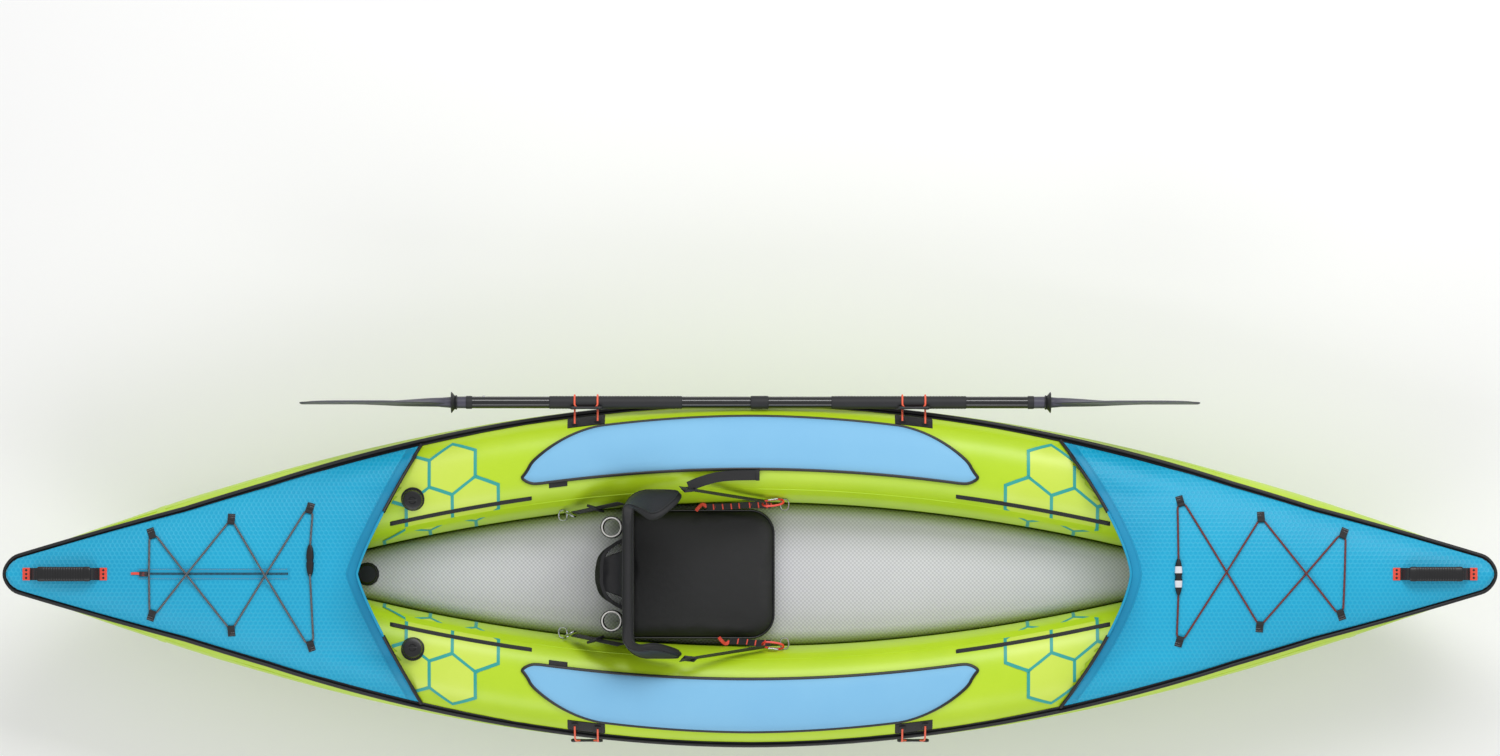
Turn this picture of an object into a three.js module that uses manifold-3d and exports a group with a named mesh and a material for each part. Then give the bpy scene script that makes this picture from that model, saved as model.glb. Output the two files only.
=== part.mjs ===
// Inflatable sit-in kayak for one, with a drop-stitch floor, a folding seat, a fin and a paddle on its side.
// Millimetres. +X is the bow, +Y is port, +Z is up. The origin lies on the hull's flat bottom, amidships.
import * as THREE from "three";
import { LoftGeometry } from "three/addons/geometries/LoftGeometry.js";
import { mergeVertices } from "three/addons/utils/BufferGeometryUtils.js";
import Module from "manifold-3d";

const wasm = await Module();
wasm.setup();

// ---- driving dimensions ----

const CLEARANCE = 0.3; // between pieces that touch

const HULL_LENGTH = 3660;
const HULL_BEAM = 844;
const ALONG = HULL_LENGTH / 3660; // fittings keep their share of the length and beam
const ACROSS = HULL_BEAM / 844;
const NOSE_RADIUS = 30; // rounding of both tips in plan
const TIP_OFFSET = 57; // widens the tips of the sine outline
const OUTLINE_POWER = 0.92;
const TUBE_WIDTH = 245;
const TUBE_HEIGHT = 280; // amidships
const TUBE_HEIGHT_AT_TIP = 222;
const TUBE_SWEEP_START = 450; // distance from a tip where the tube tops begin to rise
const TUBE_SQUARENESS = 2.4; // superellipse exponent of the tube's section
const SEAM_HEIGHT = 201;
const STEM_RISE = 205;
const STEM_SWEEP = 115;
const ROCKER_RISE = 12;
const ROCKER_LENGTH = 650;
const SKIN = 1.0; // coated fabric
const BLADDER_GAP = 0.6;

const PIPING_RADIUS = 5;
const FLOOR_TOP = 100;
const FLOOR_SIDE_GAP = 2;
const FLOOR_END = 1030 * ALONG;
const FLOOR_LEAST_HALF_WIDTH = 38; // the floor stops where the tubes leave less room

const RIDGE_AT_TIP = 229;
const RIDGE_AT_COCKPIT = 265;
const RIDGE_LENGTH = 950 * ALONG;
const BOW_COAMING = { apex: 927 * ALONG, side: 749 * ALONG, sideY: 339 * ACROSS, power: 1.45 };
const STERN_COAMING = { apex: 957 * ALONG, side: 790 * ALONG, sideY: 339 * ACROSS, power: 1.2 };
const COCKPIT_PART = 300; // no deck reaches this near amidships
const VISOR_HEIGHT = 88;
const VISOR_HALF_SPAN = 290 * ACROSS;
const VISOR_THICKNESS = 3;

const PAD_HALF_LENGTH = 555 * ALONG;
const PAD_THICKNESS = 8;
const ZIP_THICKNESS = 2;
const ZIP_NEAR = 500 * ALONG; // where the tube zips start, from amidships
const ZIP_FAR = 880 * ALONG;
const DECK_ZIP = { from: -1495 * ALONG, to: -1123 * ALONG, width: 30 };
const SLIDER = { length: 26, width: 14, height: 7 };

const VALVE = { flange: 29, flangeThickness: 3, neck: 20, depth: 26, bore: 14, floor: 4, stemHole: 5.5 };
const CAP = { radius: 25, height: 22, plugDepth: 8 };
const PLUNGER = { stem: 5, head: 9, headDepth: 14, seal: 12, discThickness: 3, travel: 6 };
const VALVE_X = -823 * ALONG;
const FLOOR_VALVE_X = -940 * ALONG;

const HANDLE_X = HULL_LENGTH / 2 - 157;
const HANDLE_STRAP = { span: 165, foot: 20, width: 30, thickness: 2.5, rise: 24 };
const HANDLE_GRIP = { length: 133, width: 36, height: 13 };

const BUNGEE_RADIUS = 2.5;
const inPlan = ([x, y]) => [x * ALONG, y * ACROSS];
const BOW_ANCHORS = [[1051, 163], [1247, 126], [1444, 92]].map(inPlan);
const STERN_ANCHORS = [[-1075, 160], [-1267, 128], [-1459, 93]].map(inPlan);

const FIN_BOX = { front: -945 * ALONG, length: 150, plate: 175, plateWidth: 60, plateThickness: 3.6,
  width: 38, height: 17 };
const FIN = { chord: 125, sweep: 200, depth: 208, thickness: 6, flange: 20, flangeHeight: 4.4 };

const SEAT = { front: 63, back: -308, sideGap: 1.5, height: 48, corner: 60 };
const BACK_THICKNESS = 24;
const BACK = { rear: SEAT.back, thickness: BACK_THICKNESS,
  halfWidth: 205, wingFront: -145, wingThickness: 16 };
const BACK_TOP = 420;
const BACK_WAIST = { sideGap: 6, from: 215, to: 285 }; // narrow where the back stands between the tubes
const ROD_HOLDER = { outer: 23.5, bore: 21, rim: 28, rimThickness: 5, bottom: 135, top: 330, y: 114,
  sides: 16 };
const POCKET = { depth: 74, halfWidth: 84, bottom: 150, top: 290, wall: 2 };
const STRAP = { width: 25, thickness: 2 };

const PADDLE_LENGTH = 2200;
const PADDLE_Y = HULL_BEAM / 2 - 3;
const PADDLE_Z = 239;
const PADDLE_TILT = 0.66; // degrees, bow end down
const SHAFT_RADIUS = 14.5;
const SHAFT_BORE = 12.6;
const SHAFT_SIDES = 12;
const BLADE = { length: 410, width: 172, thickness: 5, plug: 58 };
const FERRULE_LENGTH = 60;
const BUTTON = { radius: 3.5, x: -650, proud: 2 };
const HOLDER_X = [-400 * ALONG, 400 * ALONG];
const HOLDER = { length: 95, thickness: 2, loopSpacing: 56, toggleRadius: 4.5, toggleLength: 78 };

// ---- small helpers ----

const v = (x, y, z) => new THREE.Vector3(x, y, z);
const radians = (degrees) => (degrees * Math.PI) / 180;
const lerp = THREE.MathUtils.lerp;
const clamp = THREE.MathUtils.clamp;
const signedPower = (value, power) => Math.sign(value) * Math.abs(value) ** power;
const steps = (count) => Array.from({ length: count + 1 }, (_, i) => i / count);

function finish(color, roughness, metalness = 0) {
  return new THREE.MeshStandardMaterial({ color, roughness, metalness });
}

const LIME = finish(0xbee132, 0.45);
const BLUE = finish(0x19a5d7, 0.6);
const SKY = finish(0x7dbee6, 0.8);
const GREY = finish(0xc8c8cd, 0.6);
const BLACK = finish(0x17181b, 0.7);
const BLACK_PLASTIC = finish(0x101114, 0.4);
const CORAL = finish(0xff6e50, 0.7);
const FIN_ORANGE = finish(0xf05f32, 0.4);
const SLATE = finish(0x464455, 0.5);
const RUBBER_GREY = finish(0x8d9196, 0.6);

const kayak = new THREE.Group();

// Adds a named mesh; port pieces are mirrored to starboard when asked.
function add(name, geometry, material, parent = kayak, mirror = false) {
  const mesh = new THREE.Mesh(geometry, material);
  mesh.name = name;
  if (mirror) mesh.scale.y = -1;
  parent.add(mesh);
  return mesh;
}

// A closed indexed geometry whose faces are turned to point outwards.
function closed(points, faces) {
  const geometry = new THREE.BufferGeometry();
  const at = (k) => v(points[3 * k], points[3 * k + 1], points[3 * k + 2]);
  let volume = 0;
  for (let f = 0; f < faces.length; f += 3) {
    volume += at(faces[f]).dot(at(faces[f + 1]).cross(at(faces[f + 2])));
  }
  const outward = volume < 0 ? faces.slice().reverse() : faces;
  geometry.setAttribute("position", new THREE.Float32BufferAttribute(points, 3));
  geometry.setIndex(outward);
  geometry.computeVertexNormals();
  return geometry;
}

// A thin closed sheet: place(i, j, side) gives the point on its lower (0) or upper (1) face.
// turn(j) says which columns split their quads along the other diagonal, to lie flat on what they cover.
function sheet(rows, columns, place, turn = () => false) {
  const points = [];
  const faces = [];
  const at = (i, j, side) => (side * (rows + 1) + i) * (columns + 1) + j;
  for (const side of [0, 1]) {
    for (let i = 0; i <= rows; i += 1) {
      for (let j = 0; j <= columns; j += 1) points.push(...place(i, j, side).toArray());
    }
  }
  for (let i = 0; i < rows; i += 1) {
    for (let j = 0; j < columns; j += 1) {
      for (const side of [0, 1]) {
        const [a, b, c, d] = [at(i, j, side), at(i, j + 1, side), at(i + 1, j + 1, side), at(i + 1, j, side)];
        const pair = turn(j) ? [[a, b, c], [a, c, d]] : [[a, b, d], [b, c, d]];
        pair.forEach((face) => faces.push(...(side ? face : face.reverse())));
      }
    }
  }
  const wall = (a, b, aLow, bLow) => faces.push(b, a, aLow, b, aLow, bLow);
  for (let j = 0; j < columns; j += 1) {
    wall(at(0, j, 1), at(0, j + 1, 1), at(0, j, 0), at(0, j + 1, 0));
    wall(at(rows, j + 1, 1), at(rows, j, 1), at(rows, j + 1, 0), at(rows, j, 0));
  }
  for (let i = 0; i < rows; i += 1) {
    wall(at(i + 1, 0, 1), at(i, 0, 1), at(i + 1, 0, 0), at(i, 0, 0));
    wall(at(i, columns, 1), at(i + 1, columns, 1), at(i, columns, 0), at(i + 1, columns, 0));
  }
  return closed(points, faces);
}

// A round cord along a closed loop of points that lie roughly level.
function loopTube(path, radius, sides = 6) {
  const points = [];
  const faces = [];
  const count = path.length;
  path.forEach((centre, i) => {
    const tangent = path[(i + 1) % count].clone().sub(path[(i + count - 1) % count]).normalize();
    const across = v(0, 0, 1).cross(tangent).normalize();
    const up = tangent.clone().cross(across);
    for (let j = 0; j < sides; j += 1) {
      const turn = (2 * Math.PI * j) / sides;
      const offset = across.clone().multiplyScalar(Math.cos(turn)).addScaledVector(up, Math.sin(turn));
      points.push(...centre.clone().addScaledVector(offset, radius).toArray());
    }
  });
  const at = (i, j) => (i % count) * sides + (j % sides);
  for (let i = 0; i < count; i += 1) {
    for (let j = 0; j < sides; j += 1) {
      faces.push(at(i, j), at(i, j + 1), at(i + 1, j), at(i, j + 1), at(i + 1, j + 1), at(i + 1, j));
    }
  }
  return closed(points, faces);
}

// An open-ended cord or bar of a polygon section along a curve.
function rod(curve, radius, stepCount, sides = 6) {
  const section = new THREE.Shape();
  for (let j = 0; j < sides; j += 1) {
    const turn = (2 * Math.PI * j) / sides;
    const corner = [radius * Math.cos(turn), radius * Math.sin(turn)];
    if (j === 0) section.moveTo(...corner);
    else section.lineTo(...corner);
  }
  return new THREE.ExtrudeGeometry(section, { extrudePath: curve, steps: stepCount, bevelEnabled: false });
}

function straightRod(from, to, radius, sides = 6) {
  return rod(new THREE.LineCurve3(from, to), radius, 1, sides);
}

// The same triangles with nothing but their positions, so that shared vertices can merge.
function bare(geometry) {
  return new THREE.BufferGeometry()
    .setAttribute("position", geometry.getAttribute("position"))
    .setIndex(geometry.index);
}

function toSolid(geometry) {
  const merged = mergeVertices(bare(geometry), 1e-3);
  return new wasm.Manifold(
    new wasm.Mesh({
      numProp: 3,
      vertProperties: merged.attributes.position.array,
      triVerts: new Uint32Array(merged.index.array),
    }),
  );
}

function toGeometry(solid) {
  const mesh = solid.getMesh();
  const geometry = new THREE.BufferGeometry();
  geometry.setAttribute("position", new THREE.Float32BufferAttribute(mesh.vertProperties, 3));
  geometry.setIndex(Array.from(mesh.triVerts));
  geometry.computeVertexNormals();
  return geometry;
}

const join = (...geometries) => toGeometry(geometries.map(toSolid).reduce((a, b) => a.add(b)));
const cut = (geometry, ...tools) => toGeometry(tools.map(toSolid).reduce((a, b) => a.subtract(b), toSolid(geometry)));
const common = (...geometries) => toGeometry(geometries.map(toSolid).reduce((a, b) => a.intersect(b)));

// A turned piece about +Z from a profile of [radius, height] corners that starts and ends on the axis.
function turned(profile, segments = 14) {
  return new THREE.LatheGeometry(profile.map(([r, z]) => new THREE.Vector2(r, z)), segments).rotateX(Math.PI / 2);
}

// A plate whose outline [[x, z], ...] stands in the XZ plane and is centred on y = 0.
function standingPlate(outline, thickness) {
  const shape = new THREE.Shape(outline.map(([x, z]) => new THREE.Vector2(x, z)));
  return new THREE.ExtrudeGeometry(shape, { depth: thickness, bevelEnabled: false })
    .translate(0, 0, -thickness / 2)
    .rotateX(Math.PI / 2);
}

// A block between two heights from a plan outline [[x, y], ...].
function upright(outline, low, high) {
  const shape = new THREE.Shape(outline.map(([x, y]) => new THREE.Vector2(x, y)));
  return new THREE.ExtrudeGeometry(shape, { depth: high - low, bevelEnabled: false }).translate(0, 0, low);
}

function box(x0, x1, y0, y1, z0, z1) {
  return new THREE.BoxGeometry(x1 - x0, y1 - y0, z1 - z0).translate((x0 + x1) / 2, (y0 + y1) / 2, (z0 + z1) / 2);
}

// ---- hull form ----

const HALF_LENGTH = HULL_LENGTH / 2;
const HALF_BEAM = HULL_BEAM / 2;
const TIP_INSET = 2 * PIPING_RADIUS + 1; // the piping wraps round the tips of the skin
const SKIN_HALF = HALF_LENGTH - TIP_INSET;
const STATIONS = 16;
const FIRST_STATION = 1.5;
// Ring positions of a tube's section: 0 seam, 3 top, 7 inner side, 9 floor line, 11 bottom, 12 chine, 16 seam.
const RING = { seam: 0, top: 3, inner: 7, floorLine: 9, bottom: 11, chine: 12, end: 16 };

function halfBeam(fromTip) {
  const share = (fromTip + TIP_OFFSET) / (HALF_LENGTH + TIP_OFFSET);
  const rounding = clamp(1 - (fromTip - TIP_INSET) / NOSE_RADIUS, 0, 1);
  return HALF_BEAM * Math.sin((Math.PI / 2) * share) ** OUTLINE_POWER * Math.sqrt(1 - rounding ** 2);
}

function keelHeight(fromTip) {
  if (fromTip >= ROCKER_LENGTH) return 0;
  const fade = Math.exp(-fromTip / STEM_SWEEP) - Math.exp(-ROCKER_LENGTH / STEM_SWEEP);
  return STEM_RISE * fade + ROCKER_RISE * (1 - fromTip / ROCKER_LENGTH) ** 2;
}

function tubeTop(fromTip) {
  const share = clamp((fromTip - TUBE_SWEEP_START) / (HALF_LENGTH - TUBE_SWEEP_START), 0, 1);
  return lerp(TUBE_HEIGHT_AT_TIP, TUBE_HEIGHT, 1 - (1 - share) ** 1.3);
}

// The port tube's section at x: centre, half sizes and the angle of the gunwale seam.
function tubeSection(x) {
  const fromTip = HALF_LENGTH - Math.abs(x);
  const wide = halfBeam(fromTip);
  const halfWidth = Math.min(TUBE_WIDTH, wide - 1) / 2;
  const low = keelHeight(fromTip);
  const halfHeight = (tubeTop(fromTip) - low) / 2;
  const rise = (SEAM_HEIGHT + seamLift(fromTip) - low - halfHeight) / halfHeight;
  const seam = Math.asin(clamp(signedPower(rise, TUBE_SQUARENESS / 2), -0.95, 0.95));
  return { x, y: wide - halfWidth, z: low + halfHeight, halfWidth, halfHeight, seam, low };
}

function seamLift(fromTip) {
  return 5 * Math.exp(-fromTip / 80);
}

function ringAngle(section, k) {
  const knots = [[0, section.seam], [3, Math.PI / 2], [7, Math.PI], [9, 1.25 * Math.PI], [11, 1.5 * Math.PI],
    [12, (5 / 3) * Math.PI], [16, 2 * Math.PI + section.seam]];
  const at = knots.findIndex(([index], i) => k <= knots[i + 1][0]);
  const [[k0, a0], [k1, a1]] = [knots[at], knots[at + 1]];
  return lerp(a0, a1, (k - k0) / (k1 - k0));
}

function tubePoint(section, k, inset = 0, shrink = 1) {
  const angle = ringAngle(section, k);
  const power = 2 / TUBE_SQUARENESS;
  const y = section.y + shrink * (section.halfWidth - inset) * signedPower(Math.cos(angle), power);
  const z = section.z + shrink * (section.halfHeight - inset) * signedPower(Math.sin(angle), power);
  return v(section.x, y, z);
}

function stationAt(i) {
  const s = Math.max(FIRST_STATION, SKIN_HALF * (i / STATIONS) ** 2);
  return SKIN_HALF - s;
}

// Stations run from the stern tip (0) to the bow tip (2 * STATIONS).
const STATION_X = Array.from({ length: 2 * STATIONS + 1 }, (_, i) =>
  i <= STATIONS ? -stationAt(i) : stationAt(2 * STATIONS - i));
const SECTIONS = STATION_X.map(tubeSection);

// The point on the faceted port tube at any x and ring position, lifted off its surface.
function onTube(x, k, lift = 0) {
  const after = clamp(STATION_X.findIndex((station) => station >= x), 1, 2 * STATIONS);
  const share = (x - STATION_X[after - 1]) / (STATION_X[after] - STATION_X[after - 1]);
  const low = Math.floor(k);
  const along = [after - 1, after].map((i) => {
    const here = tubePoint(SECTIONS[i], low, -lift);
    return here.lerp(tubePoint(SECTIONS[i], Math.min(low + 1, RING.end), -lift), k - low);
  });
  return along[0].lerp(along[1], share);
}

const stationsBetween = (x0, x1) => [x0, ...STATION_X.filter((x) => x > x0 + 1 && x < x1 - 1), x1];
const ringStops = (k0, k1) => [k0, ...[1, 2, 3, 4, 5, 6].filter((k) => k > k0 + 0.02 && k < k1 - 0.02), k1];

// A flat fitting laid on the port tube, bent where the tube's facets bend.
function tubePatch(x0, x1, k0, k1, thickness, lift = 2 * CLEARANCE) {
  const xs = stationsBetween(x0, x1);
  const ks = ringStops(k0, k1);
  return sheet(xs.length - 1, ks.length - 1, (i, j, side) => onTube(xs[i], ks[j], lift + side * thickness));
}

// Deck surface: crowned from seam to ridge, and never lower than the tube under it.
function deckHeight(x, y) {
  const section = tubeSection(x);
  const seam = tubePoint(section, 0);
  const fromTip = HALF_LENGTH - Math.abs(x);
  const ridge = lerp(RIDGE_AT_TIP, RIDGE_AT_COCKPIT, fromTip / RIDGE_LENGTH);
  const share = clamp(Math.abs(y) / seam.y, 0, 1);
  const crowned = seam.z + (ridge - seam.z) * (1 - share ** 2.2) ** 0.6;
  const across = clamp((Math.abs(y) - section.y) / section.halfWidth, -1, 1);
  const tube = section.z + section.halfHeight * (1 - Math.abs(across) ** TUBE_SQUARENESS) ** (1 / TUBE_SQUARENESS);
  return Math.max(crowned, tube + 2 * CLEARANCE);
}

const deckTop = (x, y) => deckHeight(x, y) + SKIN;

function coamingX(coaming, y) {
  return coaming.apex - (coaming.apex - coaming.side) * (Math.abs(y) / coaming.sideY) ** coaming.power;
}

// ---- skins and chambers ----

// A skin that follows the port tube between two ring positions, over the whole length.
function tubeSkin(from, to) {
  const ends = [from, to];
  const columns = Math.ceil(to) - Math.floor(from);
  const ringAt = (j) => clamp(Math.floor(from) + j, ends[0], ends[1]);
  return sheet(2 * STATIONS, columns, (i, j, side) => tubePoint(SECTIONS[i], ringAt(j), SKIN * (1 - side)));
}

// The flat bottom panel runs across both tubes and stops at each chine.
function bottomSkin() {
  const edge = RING.chine - 0.02;
  const ring = [edge, RING.bottom];
  return sheet(2 * STATIONS, 6, (i, j, side) => {
    const section = SECTIONS[i];
    const inset = SKIN * (1 - side);
    const half = Math.min(j, 6 - j);
    const point = half < 2 ? tubePoint(section, ring[half], inset) : v(section.x, 0, section.low + inset);
    if (half === 2) point.y = section.y / 2;
    if (j > 3) point.y = -point.y;
    return point;
  }, (j) => j < 3);
}

function bladder() {
  const inset = SKIN + BLADDER_GAP;
  const roundEnd = [0.35, 0.75, 0.93];
  const rows = STATION_X.length - 2;
  const sections = SECTIONS.slice(1, -1).map((section, i) => {
    const fromEnd = Math.min(i, rows - 1 - i);
    const shrink = roundEnd[fromEnd] ?? 1;
    return Array.from({ length: RING.end }, (_, k) => tubePoint(section, k, inset, shrink));
  });
  return closedLoft(sections);
}

function closedLoft(sections) {
  const loft = new LoftGeometry(sections, { capStart: true, capEnd: true });
  const merged = mergeVertices(bare(loft), 1e-3);
  return closed(Array.from(merged.attributes.position.array), Array.from(merged.index.array));
}

function floorChamber() {
  let end = FLOOR_END;
  while (onTube(end, RING.inner).y < FLOOR_LEAST_HALF_WIDTH) end -= 10;
  const rows = STATION_X.filter((x) => Math.abs(x) < end - 5);
  rows.unshift(-end);
  rows.push(end);
  const low = SKIN + CLEARANCE;
  const sections = rows.map((x) => {
    const innerEdge = onTube(x, RING.inner).y - FLOOR_SIDE_GAP;
    const half = Math.abs(x) < end ? innerEdge : innerEdge * 0.7;
    const side = [[half - 14, low], [half - 4, low + 6], [half, low + 18], [half, FLOOR_TOP - 18],
      [half - 4, FLOOR_TOP - 6], [half - 14, FLOOR_TOP]];
    const mirrored = side.slice().reverse().map(([y, z]) => [-y, z]);
    return [...side, ...mirrored].map(([y, z]) => v(x, y, z));
  });
  return closedLoft(sections);
}

// One deck, from its tip to beyond the coaming, then trimmed along the coaming.
function deck(sign, coaming) {
  const reach = 13;
  const first = 0.25; // the edge tucks in behind the piping
  const rows = Array.from({ length: reach }, (_, i) => sign * stationAt(i + 1)).sort((a, b) => a - b);
  const whole = sheet(reach - 1, 12, (i, j, side) => {
    const section = tubeSection(rows[i]);
    const half = Math.min(j, 12 - j);
    const outer = half <= 3 ? tubePoint(section, half === 0 ? first : half).y : section.y * (1 - (half - 3) / 3);
    const y = j > 6 ? -outer : outer;
    return v(section.x, y, deckHeight(section.x, y) + SKIN * side);
  }, (j) => j >= 6);
  const edge = steps(14).map((t) => lerp(-HALF_BEAM, HALF_BEAM, t)).map((y) => [sign * coamingX(coaming, y), y]);
  return cut(whole, upright([...edge, [sign * COCKPIT_PART, HALF_BEAM], [sign * COCKPIT_PART, -HALF_BEAM]],
    FLOOR_TOP / 2, BACK_TOP));
}

function visor(sign, coaming) {
  const rows = 16;
  const setback = 3;
  return sheet(rows, 2, (i, j, side) => {
    const y = lerp(-VISOR_HALF_SPAN, VISOR_HALF_SPAN, i / rows);
    const rise = 10 + (VISOR_HEIGHT - 10) * (1 - (Math.abs(y) / VISOR_HALF_SPAN) ** 1.6);
    const x = coamingX(coaming, y) + setback + VISOR_THICKNESS * side - 6 * (j / 2) ** 2;
    return v(sign * x, y, deckTop(sign * x, y) + 3 * CLEARANCE + (rise * j) / 2);
  });
}

function gunwalePiping() {
  const stand = PIPING_RADIUS + CLEARANCE + 0.2;
  const portSide = SECTIONS.map((section) => tubePoint(section, 0));
  const placed = portSide.map((point, i) => {
    const before = portSide[Math.max(i - 1, 0)];
    const after = portSide[Math.min(i + 1, portSide.length - 1)];
    const tangent = after.clone().sub(before).setZ(0).normalize();
    if (i === 0) tangent.set(0.35, 1, 0).normalize();
    if (i === portSide.length - 1) tangent.set(0.35, -1, 0).normalize();
    const climb = tubePoint(SECTIONS[i], 0.1).sub(point);
    const tilt = Math.atan2(-climb.y, climb.z);
    const outward = v(-tangent.y, tangent.x, 0).multiplyScalar(Math.cos(tilt)).setZ(Math.sin(tilt));
    return point.clone().addScaledVector(outward, stand);
  });
  const starboard = placed.slice().reverse().map((point) => v(point.x, -point.y, point.z));
  return loopTube([...placed, ...starboard], PIPING_RADIUS);
}

// ---- fittings on the tubes ----

// The knee-side pad: its outer edge runs in towards both ends, where the corners are cut off.
function pad() {
  const taperStart = PAD_HALF_LENGTH - 145;
  const corner = PAD_HALF_LENGTH - 65;
  const rows = stationsBetween(-PAD_HALF_LENGTH, PAD_HALF_LENGTH);
  rows.push(-corner, corner);
  rows.sort((a, b) => a - b);
  const cushion = sheet(rows.length - 1, 3, (i, j, side) => {
    const x = rows[i];
    const taper = Math.max(0, (Math.abs(x) - taperStart) / (PAD_HALF_LENGTH - taperStart));
    const outer = 1.4 + 0.3 * (x / PAD_HALF_LENGTH) ** 2 + 1.4 * taper;
    const stops = [outer, Math.max(outer + 0.05, 2), Math.max(outer + 0.1, RING.top), 3.65];
    return onTube(x, stops[j], side ? CLEARANCE + PAD_THICKNESS : -4);
  });
  const under = SECTIONS.filter((section) => Math.abs(section.x) < PAD_HALF_LENGTH + 100)
    .map((section) => Array.from({ length: RING.end }, (_, k) => tubePoint(section, k, -CLEARANCE - 0.1)));
  return cut(cushion, closedLoft(under));
}

function tubeZip(sign) {
  const ends = [sign * ZIP_NEAR, sign * ZIP_FAR].sort((a, b) => a - b);
  return tubePatch(...ends, 4.3, 4.85, ZIP_THICKNESS);
}

const valveHole = (depth) => turned([[0, -depth], [VALVE.neck + 0.4, -depth], [VALVE.neck + 0.4, 20], [0, 20]]);

function valveBody() {
  const { flange, flangeThickness, neck, depth, bore, floor, stemHole } = VALVE;
  const top = CLEARANCE + flangeThickness;
  return turned([[stemHole, -depth], [neck, -depth], [neck, CLEARANCE], [flange, CLEARANCE], [flange, top - 1],
    [flange - 1.5, top], [bore, top], [bore, floor - depth], [stemHole, floor - depth], [stemHole, -depth]]);
}

function valveCap() {
  const low = 2 * CLEARANCE + VALVE.flangeThickness;
  const plug = VALVE.bore - 0.4;
  return turned([[0, low - CAP.plugDepth], [plug, low - CAP.plugDepth], [plug, low], [CAP.radius, low],
    [CAP.radius, low + CAP.height - 4], [CAP.radius - 4, low + CAP.height], [0, low + CAP.height]]);
}

function valvePlunger() {
  const { stem, head, headDepth, seal, discThickness } = PLUNGER;
  const sealTop = -VALVE.depth - CLEARANCE;
  return turned([[0, sealTop - discThickness], [seal, sealTop - discThickness], [seal, sealTop], [stem, sealTop],
    [stem, -headDepth], [head, -headDepth], [head, discThickness - headDepth], [0, discThickness - headDepth]]);
}

// Where a valve stands on a port tube: the middle of the facet just inboard of the top.
function valveFrame() {
  const centre = onTube(VALVE_X, RING.top + 0.5);
  const along = onTube(VALVE_X + 20, RING.top + 0.5).sub(onTube(VALVE_X - 20, RING.top + 0.5));
  const across = onTube(VALVE_X, RING.top + 0.1).sub(onTube(VALVE_X, RING.top + 0.9));
  const normal = along.cross(across).normalize();
  return { centre, normal };
}

function seated(geometry, { centre, normal }) {
  const turn = new THREE.Quaternion().setFromUnitVectors(v(0, 0, 1), normal);
  return geometry.clone().applyQuaternion(turn).translate(centre.x, centre.y, centre.z);
}

// ---- deck fittings ----

function deckZip() {
  const rows = 5;
  const { from, to, width } = DECK_ZIP;
  return sheet(rows, 2, (i, j, side) => {
    const x = lerp(from, to, i / rows);
    const y = lerp(-width / 2, width / 2, j / 2);
    return v(x, y, deckTop(x, y) + 2 * CLEARANCE + side * ZIP_THICKNESS);
  });
}

function zipSlider() {
  const { length, width, height } = SLIDER;
  const x = DECK_ZIP.from + 4;
  const low = deckTop(x, 0) + ZIP_THICKNESS + 3 * CLEARANCE + 0.3;
  const body = standingPlate([[0, 0], [length, 0], [length - 4, height], [4, height]], width);
  const pull = box(-length * 0.9, 5, -width / 4, width / 4, height - 3, height - 1);
  return join(body, pull).rotateY(-ridgeSlope()).translate(x, 0, low);
}

function ridgeSlope() {
  return Math.atan((RIDGE_AT_COCKPIT - RIDGE_AT_TIP) / RIDGE_LENGTH);
}

function handleStrap(sign) {
  const { span, foot, width, thickness, rise } = HANDLE_STRAP;
  const shoulder = HANDLE_GRIP.length / 2 + 3;
  const half = [[shoulder, rise], [span / 2 - 4, 3], [span / 2, 0], [span / 2 + foot, 0]];
  const line = [...half.slice().reverse().map(([x, z]) => [-x, z]), ...half];
  const upper = line.slice().reverse().map(([x, z]) => [x, z + thickness]);
  return placedOnRidge(standingPlate([...line, ...upper], width), sign);
}

function placedOnRidge(geometry, sign) {
  const lift = deckTop(sign * HANDLE_X, 0) + CLEARANCE + 0.3;
  return geometry.rotateY(sign * ridgeSlope()).translate(sign * HANDLE_X, 0, lift);
}

function handleGrip(sign) {
  const { length, width, height } = HANDLE_GRIP;
  const { thickness, rise } = HANDLE_STRAP;
  const corner = height / 3;
  const outline = new THREE.Shape([[-width / 2, corner], [-width / 2 + corner, 0], [width / 2 - corner, 0],
    [width / 2, corner], [width / 2, height - corner], [width / 2 - corner, height],
    [-width / 2 + corner, height], [-width / 2, height - corner]].map(([x, y]) => new THREE.Vector2(x, y)));
  const slotHalf = HANDLE_STRAP.width / 2 + CLEARANCE;
  const slotLow = (height - thickness) / 2 - CLEARANCE;
  const slotHigh = slotLow + thickness + 2 * CLEARANCE;
  outline.holes.push(new THREE.Path([[-slotHalf, slotLow], [-slotHalf, slotHigh], [slotHalf, slotHigh],
    [slotHalf, slotLow]].map(([x, y]) => new THREE.Vector2(x, y))));
  const grip = new THREE.ExtrudeGeometry(outline, { depth: length, bevelEnabled: false })
    .translate(0, 0, -length / 2)
    .rotateX(Math.PI / 2)
    .rotateZ(Math.PI / 2)
    .translate(0, 0, rise - slotLow - CLEARANCE);
  return placedOnRidge(grip, sign);
}

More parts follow.
